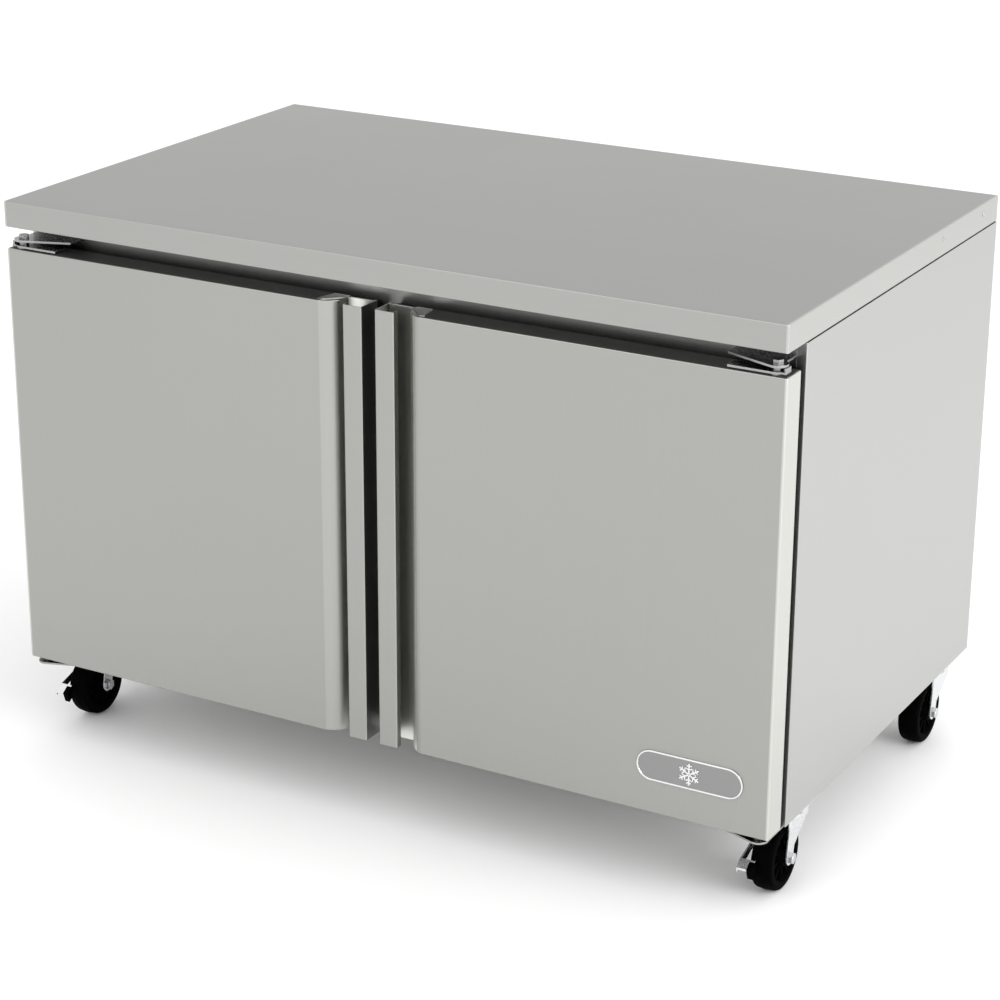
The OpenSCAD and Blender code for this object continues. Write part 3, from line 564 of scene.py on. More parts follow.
SLOT_OF = {part["node"]: part["material_slot"] for part in frame["record"]["subparts"]}
for name, obj in NODES.items():
    for socket in obj.material_slots:
        socket.material = FINISH[SLOT_OF[name]]
print("finishes", len(FINISH))

# %% [markdown]
# ## Sheet metal helpers
# Most of the cabinet is sheet steel about a millimetre thick, folded on a brake. A fold is never sharp: its
# outside has a radius of one or two sheet thicknesses, and that round edge is what catches the light. Two
# helpers make folded parts. One folds a path that is drawn in section, the other rounds a box, opens some of
# its sides and gives the rest a thickness.

# %% Mesh helpers
SHEET = 1.2 * MM
SMOOTH_ANGLE = math.radians(35)
SOFT_ANGLE = math.radians(30)
FOLD_SEGMENTS = 4


def add_object(name, mesh, material):
    obj = bpy.data.objects.new(name, mesh)
    bpy.context.scene.collection.objects.link(obj)
    mesh.materials.clear()
    mesh.materials.append(FINISH[material])
    return obj


def to_mesh(bm, name, recalc=True):
    if recalc:
        bmesh.ops.recalc_face_normals(bm, faces=bm.faces)
    mesh = bpy.data.meshes.new(name)
    bm.to_mesh(mesh)
    bm.free()
    return mesh


def applied(obj):
    """Turns an object's modifiers into a plain mesh."""
    result = bpy.data.meshes.new_from_object(obj.evaluated_get(bpy.context.evaluated_depsgraph_get()))
    obj.modifiers.clear()
    obj.data = result
    return obj


def shade(obj, weighted=True):
    """Smooth shading that keeps sharp edges and flat faces flat."""
    for polygon in obj.data.polygons:
        polygon.use_smooth = True
    obj.data.set_sharp_from_angle(angle=SMOOTH_ANGLE)
    if weighted:
        modifier = obj.modifiers.new("flat_faces", "WEIGHTED_NORMAL")
        modifier.keep_sharp = True
        applied(obj)
    return obj


def with_thickness(obj, thickness, offset=-1):
    """Gives a surface the thickness of its sheet, inwards unless the offset is 1."""
    solid = obj.modifiers.new("thickness", "SOLIDIFY")
    solid.thickness = thickness
    solid.offset = offset
    return applied(obj)


def box_mesh(low, high):
    """A new mesh in edit form that holds one box."""
    bm = bmesh.new()
    bmesh.ops.create_cube(bm, size=1)
    bmesh.ops.scale(bm, vec=high - low, verts=bm.verts)
    bmesh.ops.translate(bm, vec=(high + low) / 2, verts=bm.verts)
    bm.normal_update()
    return bm


def closed_band(bm, rings):
    """Faces between rings of equal length, from each ring to the next and from the last to the first."""
    for a, b in zip(rings, rings[1:] + rings[:1]):
        for i in range(len(a)):
            j = (i + 1) % len(a)
            bm.faces.new((a[i], a[j], b[j], b[i]))


def eased(obj, width):
    """Rounds every edge of a small part."""
    bm = bmesh.new()
    bm.from_mesh(obj.data)
    bmesh.ops.bevel(bm, geom=list(bm.edges), offset=width, segments=2, profile=0.5, affect="EDGES",
                    clamp_overlap=True)
    bm.to_mesh(obj.data)
    bm.free()
    return obj


def hand_over(obj, body, slot, *replaced):
    """Hangs a finished piece on its body and hides the CAD parts that it stands in for. The slot is not used.
    """
    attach(obj, body)
    if replaced:
        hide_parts(*replaced)
    print(f"{obj.name}: {len(obj.data.polygons)} faces on {body}")
    return obj


def joined(name, objects, material):
    """One object from several, for a part that is welded together."""
    bm = bmesh.new()
    for obj in objects:
        bm.from_mesh(obj.data)
        bpy.data.objects.remove(obj)
    return add_object(name, to_mesh(bm, name, recalc=False), material)


# %% Paths and prisms
def round_corners(points, radius, steps):
    """Replaces the inner corners of an open path by arcs of one radius, or of one radius each."""
    radii = radius if isinstance(radius, list) else [radius] * (len(points) - 2)
    path = [Vector(points[0])]
    for before, corner, after, radius in zip(points, points[1:], points[2:], radii):
        before, corner, after = Vector(before), Vector(corner), Vector(after)
        a, b = (before - corner).normalized(), (after - corner).normalized()
        half = a.angle(b) / 2
        reach = min(radius / math.tan(half), (before - corner).length * 0.49, (after - corner).length * 0.49)
        real = reach * math.tan(half)
        middle = corner + (a + b).normalized() * (real / math.sin(half))
        start, end = corner + a * reach - middle, corner + b * reach - middle
        turn = start.angle_signed(end)
        for i in range(steps + 1):
            t = turn * i / steps
            c, s = math.cos(-t), math.sin(-t)
            path.append(middle + Vector((start.x * c - start.y * s, start.x * s + start.y * c)))
    path.append(Vector(points[-1]))
    return path


def thick_outline(path, thickness):
    """The closed outline of a sheet that follows the path and lies on its left side."""
    inner = []
    for i, point in enumerate(path):
        a = (path[i] - path[i - 1]).normalized() if i > 0 else None
        b = (path[i + 1] - path[i]).normalized() if i + 1 < len(path) else None
        a, b = a or b, b or a
        tangent = (a + b).normalized()
        normal = Vector((-tangent.y, tangent.x))
        inner.append(point + normal * thickness / max(0.3, tangent.dot(a)))
    return list(path) + inner[::-1]


def prism(name, outline, low, high, lift, material):
    """A closed prism over an outline. lift turns (u, v, w) into a place in the model."""
    bm = bmesh.new()
    rings = [[bm.verts.new(lift(p[0], p[1], w)) for p in outline] for w in (low, high)]
    bm.faces.new(rings[0][::-1])
    bm.faces.new(rings[1])
    count = len(outline)
    for i in range(count):
        j = (i + 1) % count
        bm.faces.new((rings[0][i], rings[0][j], rings[1][j], rings[1][i]))
    return add_object(name, to_mesh(bm, name), material)


def upright(side):
    """Lift for a plan outline: X is mirrored for the left side, w is height."""
    return lambda u, v, w: Vector((side * u, v, w))


def sideways(u, v, w):
    """Lift for an outline that is drawn in side view, with w along X."""
    return Vector((w, u, v))


# %% Folded pans
def folded_pan(name, low, high, open_sides, radius, material):
    """A box of sheet steel with rounded folds, open on the named sides."""
    bm = box_mesh(Vector(low), Vector(high))

    def is_open(face):
        n = face.normal
        label = max((abs(n.x), "x"), (abs(n.y), "y"), (abs(n.z), "z"))[1]
        sign = "+" if getattr(n, label) > 0 else "-"
        return sign + label in open_sides

    folds = [e for e in bm.edges if not any(is_open(f) for f in e.link_faces)]
    bmesh.ops.bevel(bm, geom=folds, offset=radius, segments=FOLD_SEGMENTS, profile=0.5, affect="EDGES",
                    clamp_overlap=True)
    bm.normal_update()
    openings = [f for f in bm.faces if is_open(f) and f.calc_area() > 0.2 * max(
        g.calc_area() for g in bm.faces if is_open(g))]
    bmesh.ops.delete(bm, geom=openings, context="FACES")
    return shade(with_thickness(add_object(name, to_mesh(bm, name, recalc=False), material), SHEET))


# %% Softened copies of CAD parts
def softened(node_name, width, material):
    """A copy of a CAD part with small rounded edges."""
    bm = bmesh.new()
    bm.from_mesh(NODES[node_name].data)
    bmesh.ops.remove_doubles(bm, verts=bm.verts, dist=1e-6)
    bmesh.ops.dissolve_limit(bm, angle_limit=math.radians(0.5), verts=bm.verts, edges=bm.edges)
    edges = [e for e in bm.edges if len(e.link_faces) == 2 and e.calc_face_angle(0) > SOFT_ANGLE]
    bmesh.ops.bevel(bm, geom=edges, offset=width, segments=2, profile=0.5, affect="EDGES",
                    clamp_overlap=True)
    bmesh.ops.triangulate(bm, faces=[f for f in bm.faces if len(f.verts) > 4])
    name = node_name + "_soft"
    return shade(add_object(name, to_mesh(bm, name, recalc=False), material))


def islands(node_name):
    """Centre and size of every separate solid in a CAD node."""
    bm = bmesh.new()
    bm.from_mesh(NODES[node_name].data)
    bmesh.ops.remove_doubles(bm, verts=bm.verts, dist=1e-6)
    left, found = set(bm.verts), []
    while left:
        stack, group = [left.pop()], []
        while stack:
            vert = stack.pop()
            group.append(vert.co.copy())
            for edge in vert.link_edges:
                other = edge.other_vert(vert)
                if other in left:
                    left.remove(other)
                    stack.append(other)
        low = Vector([min(c[i] for c in group) for i in range(3)])
        high = Vector([max(c[i] for c in group) for i in range(3)])
        found.append(((low + high) / 2, high - low))
    bm.free()
    return sorted(found, key=lambda item: tuple(round(v, 4) for v in item[0]))


# %% [markdown]
# ## Worktop
# The worktop is one pan: a flat sheet with its four edges folded down and turned back underneath. It is made
# as a rounded box whose underside is opened inside the return flange, then given the sheet's thickness.

# %% Worktop pan
FOLD = 1.8 * MM
FLANGE = 20 * MM
FRONT_FLANGE = 81 * MM


def worktop_pan():
    low, high = (Vector(v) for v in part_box("worktop"))
    bm = box_mesh(low, high)
    under = next(f for f in bm.faces if f.normal.z < -0.9)
    corners = list(under.verts)
    bmesh.ops.delete(bm, geom=[under], context="FACES_ONLY")
    centre = (low + high) / 2
    inner = []
    for vert in corners:
        x = vert.co.x + (FLANGE if vert.co.x < centre.x else -FLANGE)
        y = vert.co.y + (FRONT_FLANGE if vert.co.y < centre.y else -FLANGE)
        inner.append(bm.verts.new((x, y, low.z)))
    for i in range(4):
        j = (i + 1) % 4
        bm.faces.new((corners[i], corners[j], inner[j], inner[i]))
    bmesh.ops.recalc_face_normals(bm, faces=bm.faces)
    folds = [e for e in bm.edges if len(e.link_faces) == 2 and e.calc_face_angle(0) > 1]
    bmesh.ops.bevel(bm, geom=folds, offset=FOLD, segments=FOLD_SEGMENTS, profile=0.5, affect="EDGES")
    pan = add_object("worktop_pan", to_mesh(bm, "worktop_pan", recalc=False), "worktop_steel")
    return shade(with_thickness(pan, SHEET))


hand_over(worktop_pan(), "cabinet", "worktop_steel", "worktop")

# %% [markdown]
# ## Side panels
# Each side is a shallow tray: the outer skin with its front and bottom edges folded inwards.

# %% Side panels
for side, sign in SIDES.items():
    low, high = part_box(side + "_side_panel")
    inner_side = "-x" if sign > 0 else "+x"
    panel = folded_pan(side + "_side_skin", low, high, (inner_side, "+y", "+z"), FOLD, "side_steel")
    hand_over(panel, "cabinet", "side_steel", side + "_side_panel")

# %% [markdown]
# ## Door skins
# The whole front of a door is one sheet. Near the free edge it bends in at a light crease, sweeps back in a
# quarter round, and leaves room for fingers behind a hooked pull plate that runs the full height. The box
# section is a prism over its plan outline with rounded rims, opened at the back. The pull is a second folded
# sheet, drawn as a path in plan.

# %% Door dimensions
RECESS_EDGE = 80 * MM
RECESS_RADIUS = 36 * MM
CREASE = math.radians(12)
PULL_EDGE = 40 * MM
HEM = 10 * MM
RECESS_WALL = 7 * MM
DOOR_FOLD = 2.0 * MM
ARC_STEPS = 18
front_low, front_high = (Vector(v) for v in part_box("right_door_skin"))
GAP_HALF = front_low.x
DOOR_OUT = front_high.x
DOOR_FRONT, DOOR_BACK = front_low.y, front_high.y
DOOR_BOTTOM, DOOR_TOP = front_low.z, front_high.z
RECESS_CENTRE = Vector((RECESS_EDGE + RECESS_RADIUS * math.sin(CREASE),
                        DOOR_FRONT + RECESS_RADIUS * math.cos(CREASE)))
RECESS_IN = RECESS_CENTRE.x - RECESS_RADIUS


# %% Door box section
def recess_arc(radius, first, last, steps):
    return [RECESS_CENTRE + Vector((math.cos(a), math.sin(a))) * radius
            for a in (first + (last - first) * i / steps for i in range(steps + 1))]


def door_box(name, side):
    corner = round_corners([(DOOR_OUT, DOOR_BACK), (DOOR_OUT, DOOR_FRONT), (RECESS_EDGE, DOOR_FRONT)],
                           DOOR_FOLD, 4)
    sweep = recess_arc(RECESS_RADIUS, math.radians(270) - CREASE, math.radians(180), ARC_STEPS)
    outline = corner[:-1] + sweep + [Vector((RECESS_IN, DOOR_BACK))]
    obj = prism(name, outline, DOOR_BOTTOM, DOOR_TOP, upright(side), "door_steel")
    bm = bmesh.new()
    bm.from_mesh(obj.data)
    bm.normal_update()
    rims = []
    for edge in bm.edges:
        caps = [f for f in edge.link_faces if abs(f.normal.z) > 0.9]
        walls = [f for f in edge.link_faces if abs(f.normal.z) < 0.1]
        if caps and walls and walls[0].normal.y < 0.5:
            rims.append(edge)
    bmesh.ops.bevel(bm, geom=rims, offset=DOOR_FOLD * 0.9, segments=3, profile=0.5, affect="EDGES")
    bm.normal_update()
    back = [f for f in bm.faces if f.normal.y > 0.99 and f.calc_center_median().y > DOOR_BACK - 1e-5]
    bmesh.ops.delete(bm, geom=back, context="FACES")
    bm.to_mesh(obj.data)
    bm.free()
    return with_thickness(obj, SHEET)


# %% Pull plate
def door_pull(name, side):
    hook = round_corners([(GAP_HALF, DOOR_BACK), (GAP_HALF, DOOR_FRONT), (PULL_EDGE, DOOR_FRONT),
                          (PULL_EDGE, DOOR_FRONT + HEM)], 1.6 * MM, 5)
    back_wall = DOOR_BACK - RECESS_WALL
    wall = round_corners([(GAP_HALF + SHEET + 0.05 * MM, DOOR_BACK - 1.2 * MM),
                          (GAP_HALF + SHEET + 0.05 * MM, back_wall),
                          (RECESS_IN + 0.8 * MM, back_wall)], 2.5 * MM, 6)
    sheets = []
    for label, path in (("hook", hook), ("wall", wall)):
        outline = thick_outline(path, SHEET)
        sheets.append(prism(f"{name}_{label}", outline, DOOR_BOTTOM, DOOR_TOP, upright(side), "door_steel"))
    return sheets


# %% Build both doors
for side, sign in SIDES.items():
    parts = [door_box(side + "_door_box", sign)] + door_pull(side + "_door_pull", sign)
    door = shade(joined(side + "_door_shell", parts, "door_steel"))
    hand_over(door, side + "_door", "door_steel", side + "_door_skin")

# %% [markdown]
# ## Door gaskets
# The magnetic gasket is an extruded vinyl strip with bellows, mitred and welded into a ring. Its section is
# drawn once as inset and depth, and every point of it becomes a rectangle round the door.

# %% Gaskets
GASKET_SECTION = [(0, 0), (0, 3), (2.6, 4.4), (1.4, 6.6), (3.4, 8.6), (2.2, 11), (2.8, 15), (4.6, 16.8),
                  (8, 17.4), (16, 17.4), (19.4, 16.8), (21.2, 15), (21.8, 11), (20.6, 8.6), (22.6, 6.6),
                  (21.4, 4.4), (24, 3), (24, 0)]


def gasket_ring(name, node_name):
    low, high = (Vector(v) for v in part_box(node_name))
    bm = bmesh.new()
    loops = []
    for inset, depth in GASKET_SECTION:
        d, y = inset * MM, low.y + depth * MM
        corners = [(low.x + d, low.z + d), (high.x - d, low.z + d), (high.x - d, high.z - d),
                   (low.x + d, high.z - d)]
        loops.append([bm.verts.new((x, y, z)) for x, z in corners])
    closed_band(bm, loops)
    return shade(add_object(name, to_mesh(bm, name), "gasket_rubber"), weighted=False)


for side in SIDES:
    ring = gasket_ring(side + "_gasket_ring", side + "_door_gasket")
    hand_over(ring, side + "_door", "gasket_rubber", side + "_door_gasket")

# %% [markdown]
# ## Door caps, sweeps and gussets
# The top of each door is closed by a dark moulded cap that lies between the rounded skin and the gasket; its
# dark colour is painted shade for the gap under the worktop. A rubber sweep down the hinge side shuts the gap
# to the cabinet, just short of it so that it swings free.
# Beside the pull a small triangular gusset ties the box section to the recess wall. It is made in the lighter
# side steel to paint a highlight on that corner of the door top.

# %% Door caps, sweeps and gussets
CAP_START = 86 * MM
CAP_HEIGHT = 0.6 * MM
GUSSET = [(50.5, 34.4), (76, 39.5), (85, 9.6), (77, 6.0)]
SWEEP = [(584, 42.5), (602.5, 42.5), (602.5, 58.4), (600.5, 58.8), (596, 58.8), (592, 56)]
SWEEP_END = 4 * MM
CAP_RIM = 3 * MM
CAP_TUCK = 8 * MM
GUSSET_SINK, GUSSET_RISE = 0.2 * MM, 1.1 * MM
PLATE_EASE = 0.25 * MM
FRONT_EDGE = CAD_BOX[0][1]


def rounded_plate(name, outline, low, high, side, material):
    """A flat plate over a plan outline, with small rounded edges."""
    return shade(eased(prism(name, outline, low, high, upright(side), material), PLATE_EASE))


def plan_box(inner, outer, front, back):
    return [(inner, front), (outer, front), (outer, back), (inner, back)]


for side, sign in SIDES.items():
    outline = plan_box(CAP_START, DOOR_OUT - CAP_RIM, DOOR_FRONT + CAP_RIM, DOOR_BACK - 0.5 * MM)
    outline[-1] = (CAP_START - CAP_TUCK, outline[-1][1])
    # Painted shade: the near-black cap stands for the shade under the worktop.
    shade_cap = rounded_plate(side + "_door_cap", outline, DOOR_TOP, DOOR_TOP + CAP_HEIGHT, sign, "cap_plastic")
    hand_over(shade_cap, side + "_door", "gasket_rubber")
    strip = [(x * MM, FRONT_EDGE + y * MM) for x, y in SWEEP]
    sweep = rounded_plate(side + "_door_sweep", strip, DOOR_BOTTOM + SWEEP_END, DOOR_TOP - SWEEP_END, sign,
                          "gasket_rubber")
    hand_over(sweep, side + "_door", "gasket_rubber")
    corner = [(x * MM, FRONT_EDGE + y * MM) for x, y in GUSSET]
    # Painted highlight: the gusset is cut from the lighter side steel.
    lit_gusset = rounded_plate(side + "_door_gusset", corner, DOOR_TOP - GUSSET_SINK, DOOR_TOP + GUSSET_RISE,
                           sign, "side_steel")
    hand_over(lit_gusset, side + "_door", "door_steel")

# %% [markdown]
# ## Worktop seal
# A thin black strip fills the joint between the worktop and each side panel. It is a seal, and its black also
# paints the shadow line in that joint.

# %% Worktop seal
SEAL_HEIGHT = 1.5 * MM
SEAL_WIDTH = 6 * MM
SEAL_INSET = 0.9 * MM
SEAL_END = 2 * MM
seals = []
panel_low, panel_high = (Vector(v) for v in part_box("right_side_panel"))
for side, sign in SIDES.items():
    outer = panel_high.x - SEAL_INSET
    outline = plan_box(outer - SEAL_WIDTH, outer, panel_low.y + SEAL_END, panel_high.y - SEAL_END)
    # Painted shadow: the black strip also stands for the shadow line between worktop and side panel.
    seals.append(rounded_plate(side + "_seal", outline, panel_high.z, panel_high.z + SEAL_HEIGHT, sign,
                               "gasket_rubber"))
hand_over(joined("worktop_seal", seals, "gasket_rubber"), "cabinet", "gasket_rubber")

# %% [markdown]
# ## Plaque
# A small plaque sits low on the right door. Its satin plate has a polished raised rim and a plain six-armed
# snow crystal in relief, the common sign for cold. The crystal is one bar pattern turned six times.

# %% Plaque
PLAQUE_RIM = 2.4 * MM
CRYSTAL_RADIUS = 16 * MM
RELIEF = 1.1 * MM
PILL_STEPS = 16


def arm_bars(radius):
    """Bars of one crystal arm as (start, end, width), pointing along +Z."""
    bars = [((0, 0), (0, radius), 2.2 * MM)]
    for height, length in ((0.42, 0.34), (0.7, 0.26)):
        for lean in (-1, 1):
            tip = (lean * length * radius * 0.87, radius * (height + length * 0.5))
            bars.append(((0, radius * height), tip, 1.7 * MM))
    return bars


def pill(half, radius):
    """Plan of a bar with round ends."""
    outline = []
    for sign, start in ((1, -90), (-1, 90)):
        for i in range(PILL_STEPS + 1):
            a = math.radians(start + 180 * i / PILL_STEPS)
            outline.append((sign * half + radius * math.cos(a), radius * math.sin(a)))
    return outline


def plaque():
    low, high = (Vector(v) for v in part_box("door_badge"))
    centre = (low + high) / 2
    radius = (high.z - low.z) / 2
    half = (high.x - low.x) / 2 - radius
    lift = lambda u, v, w: Vector((centre.x + u, w, centre.z + v))
    plate_outline = pill(half, radius - 0.4 * MM)
    plate = prism("plaque_plate", plate_outline, low.y + 0.6 * MM, high.y, lift, "badge_satin")
    bm = bmesh.new()
    rings = []
    for inset, depth in ((0, high.y), (0, low.y + 0.2 * MM), (0.5 * MM, low.y - 0.3 * MM),
                         (PLAQUE_RIM - 0.5 * MM, low.y - 0.3 * MM), (PLAQUE_RIM, low.y + 0.4 * MM),
                         (PLAQUE_RIM, high.y)):
        rings.append([bm.verts.new(lift(u, v, depth)) for u, v in pill(half, radius - inset)])
    closed_band(bm, rings)
    pieces = [add_object("rim", to_mesh(bm, "rim"), "badge_chrome")]
    for arm in range(6):
        turn = math.radians(60 * arm)
        c, s = math.cos(turn), math.sin(turn)
        for number, (a, b, width) in enumerate(arm_bars(CRYSTAL_RADIUS)):
            direction = (Vector(b) - Vector(a)).normalized()
            across = Vector((-direction.y, direction.x)) * width / 2
            corners = [Vector(a) - across, Vector(a) + across, Vector(b) + across, Vector(b) - across]
            turned = [(p.x * c - p.y * s, p.x * s + p.y * c) for p in corners]
            face = low.y + 0.6 * MM - RELIEF + 0.02 * MM * (number + 6 * (arm % 2))
            pieces.append(prism(f"arm_{arm}_{number}", turned, face, low.y + 0.9 * MM, lift, "badge_chrome"))
    return shade(plate), shade(joined("plaque_relief", pieces, "badge_chrome"))


plaque_plate, plaque_relief = plaque()
hand_over(plaque_plate, "right_door", "badge_chrome", "door_badge")
hand_over(plaque_relief, "right_door", "badge_chrome")

# %% [markdown]
# ## Hinges and casters with eased edges
# Stamped and forged parts never have knife edges. Copies of the CAD parts get small rounded edges that catch
# a line of light, which a flat-edged part doesn't.

# %% Softened hardware
for node_name, body, slot, width in (
        ("top_hinge_brackets", "cabinet", "hinge_steel", 0.7),
        ("bottom_hinge_brackets", "cabinet", "hinge_steel", 0.7),
        ("left_door_hinge_plates", "left_door", "hinge_steel", 0.6),
        ("right_door_hinge_plates", "right_door", "hinge_steel", 0.6),
        ("caster_plates", "cabinet", "caster_zinc", 0.5),
        ("compressor", "cabinet", "compressor_black", 1.2),
        ("thermostat_housing", "cabinet", "control_plastic", 1.2),
        ("thermostat_knob", "thermostat_dial", "knob_plastic", 0.8)):
    hand_over(softened(node_name, width * MM, slot), body, slot, node_name)

for end in ("front", "rear"):
    for side in SIDES:
        corner = f"{end}_{side}"
        for part, slot, width in (("fork", "caster_zinc", 0.8), ("axle", "axle_zinc", 0.6)):
            node_name = f"{corner}_{part}"
            hand_over(softened(node_name, width * MM, slot), corner + "_caster", slot, node_name)
for side in SIDES:
    node_name = f"front_{side}_brake_pedal"
    hand_over(softened(node_name, 0.5 * MM, "caster_zinc"), f"front_{side}_brake", "caster_zinc", node_name)

# %% [markdown]
# ## Brake shoes
# Each brake pedal presses a black block onto the tread of its wheel.

# %% Brake shoes
SHOE = [(-1, 6), (10, 14), (11, -3), (4, -9)]
SHOE_IN, SHOE_OUT = 7 * MM, 1.5 * MM
for side in SIDES:
    low, high = (Vector(v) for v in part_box(f"front_{side}_brake_pedal"))
    outline = [(low.y + y * MM, low.z + z * MM) for y, z in SHOE]
    shoe = prism(f"{side}_brake_shoe", outline, high.x - SHOE_IN, high.x + SHOE_OUT, sideways, "wheel_black")
    hand_over(shade(shoe), f"front_{side}_brake", "wheel_black")

# %% [markdown]
# ## Wheels
# A caster wheel is moulded in one piece. The tread has a slightly crowned face and round shoulders, and the
# web between rim and hub is stiffened by radial ribs. The section is turned round the axle and the ribs are
# added to both sides.

# %% Wheels
WHEEL_STEPS = 96
AXLE_BORE = 5.05 * MM
HUB_RADIUS = 12 * MM
WEB_IN, WEB_OUT, WEB_HALF = 15.5 * MM, 33 * MM, 9 * MM
RIM_RADIUS = 37.5 * MM
TREAD_HALF = 16 * MM
SHOULDER = 6 * MM
CROWN = 1 * MM
RIB_COUNT = 10
RIB_SHIFT = 0.25
RIB_IN, RIB_OUT, RIB_HALF = 14 * MM, 35 * MM, 1.3 * MM
RIB_ROOT, RIB_TIP = 8 * MM, 12.5 * MM


def arc_points(cx, cy, radius, start, end, steps):
    angles = [math.radians(start + (end - start) * i / steps) for i in range(steps + 1)]
    return [(cx + radius * math.cos(a), cy + radius * math.sin(a)) for a in angles]


def lathe(name, section, centre, material):
    """Turns a closed (radius, x) section round an axis along X through the centre."""
    bm = bmesh.new()
    rings = []
    for i in range(WHEEL_STEPS):
        a = 2 * math.pi * i / WHEEL_STEPS
        rings.append([bm.verts.new((centre.x + x, centre.y + r * math.cos(a), centre.z + r * math.sin(a)))
                      for r, x in section])
    closed_band(bm, rings)
    return add_object(name, to_mesh(bm, name), material)


def wheel_section(radius, hub):
    """Half of the section, from the bore on the outside to the crown of the tread."""
    section = [(AXLE_BORE, -hub), (HUB_RADIUS, -hub), (HUB_RADIUS + 1.5 * MM, -hub + 1.5 * MM),
               (WEB_IN, -WEB_HALF), (WEB_OUT, -WEB_HALF), (RIM_RADIUS - 1.5 * MM, -TREAD_HALF + 1.2 * MM),
               (RIM_RADIUS, -TREAD_HALF)]
    section += arc_points(radius - SHOULDER - CROWN, -TREAD_HALF + SHOULDER, SHOULDER, -90, -14, 8)
    return section + [(radius, -CROWN)]


def wheel(corner):
    low, high = (Vector(v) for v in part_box(corner + "_wheel"))
    centre = (low + high) / 2
    half_section = wheel_section((high.z - low.z) / 2, (high.x - low.x) / 2)
    section = half_section + [(r, -x) for r, x in reversed(half_section)]
    parts = [lathe(corner + "_tyre", section, centre, "wheel_black")]
    rib = [(RIB_IN, -RIB_HALF), (RIB_OUT, -RIB_HALF), (RIB_OUT, RIB_HALF), (RIB_IN, RIB_HALF)]
    for side in (-1, 1):
        for i in range(RIB_COUNT):
            a = 2 * math.pi * (i + RIB_SHIFT * side) / RIB_COUNT
            c, s = math.cos(a), math.sin(a)
            lift = lambda u, v, w, c=c, s=s: centre + Vector((w, u * c - v * s, u * s + v * c))
            parts.append(prism(f"{corner}_rib_{side}_{i}", rib, side * RIB_ROOT, side * RIB_TIP, lift,
                               "wheel_black"))
    return shade(joined(corner + "_wheel_moulding", parts, "wheel_black"))


for end in ("front", "rear"):
    for side in SIDES:
        corner = f"{end}_{side}"
        hand_over(wheel(corner), corner + "_wheel", "wheel_black", corner + "_wheel")

# %% [markdown]
# ## Repeated parts
# Screws, bolts and louvres are one shape used many times, so each is modelled once and placed by geometry
# nodes. One tree sets a template on given points and spins every copy by a random angle, because no two
# screws stop at the same one. Another repeats a template in rows and columns.

# %% Geometry node trees
def node_tree(name, inputs):
    tree = bpy.data.node_groups.new(name, "GeometryNodeTree")
    tree.interface.new_socket("Geometry", in_out="INPUT", socket_type="NodeSocketGeometry")
    for label, kind in inputs:
        tree.interface.new_socket(label, in_out="INPUT", socket_type=kind)
    tree.interface.new_socket("Geometry", in_out="OUTPUT", socket_type="NodeSocketGeometry")
    return tree, tree.nodes.new("NodeGroupInput"), tree.nodes.new("NodeGroupOutput")


def finish_tree(tree, given, out, instances):
    real = tree.nodes.new("GeometryNodeRealizeInstances")
    paint = tree.nodes.new("GeometryNodeSetMaterial")
    tree.links.new(instances, real.inputs[0])
    tree.links.new(real.outputs[0], paint.inputs["Geometry"])
    tree.links.new(given.outputs["Material"], paint.inputs["Material"])
    tree.links.new(paint.outputs[0], out.inputs[0])


def fasteners_tree():
    tree, given, out = node_tree("set_fasteners", [
        ("Fastener", "NodeSocketObject"), ("Axis", "NodeSocketVector"), ("Turn Seed", "NodeSocketInt"),
        ("Material", "NodeSocketMaterial")])
    template = tree.nodes.new("GeometryNodeObjectInfo")
    tree.links.new(given.outputs["Fastener"], template.inputs["Object"])
    stand = tree.nodes.new("FunctionNodeAlignRotationToVector")
    stand.axis = "Z"
    tree.links.new(given.outputs["Axis"], stand.inputs["Vector"])
    angle = tree.nodes.new("FunctionNodeRandomValue")
    angle.data_type = "FLOAT"
    floats = [socket for socket in angle.inputs if socket.type == "VALUE" and socket.name in ("Min", "Max")]
    floats[0].default_value, floats[1].default_value = 0.0, 2 * math.pi
    tree.links.new(given.outputs["Turn Seed"], angle.inputs["Seed"])
    spin = tree.nodes.new("FunctionNodeAxisAngleToRotation")
    spin.inputs["Axis"].default_value = (0, 0, 1)
    value = next(socket for socket in angle.outputs if socket.type == "VALUE")
    tree.links.new(value, spin.inputs["Angle"])
    turned = tree.nodes.new("FunctionNodeRotateRotation")
    turned.rotation_space = "LOCAL"
    tree.links.new(stand.outputs[0], turned.inputs["Rotation"])
    tree.links.new(spin.outputs[0], turned.inputs["Rotate By"])
    place = tree.nodes.new("GeometryNodeInstanceOnPoints")
    tree.links.new(given.outputs["Geometry"], place.inputs["Points"])
    tree.links.new(template.outputs["Geometry"], place.inputs["Instance"])
    tree.links.new(turned.outputs[0], place.inputs["Rotation"])
    finish_tree(tree, given, out, place.outputs[0])
    return tree


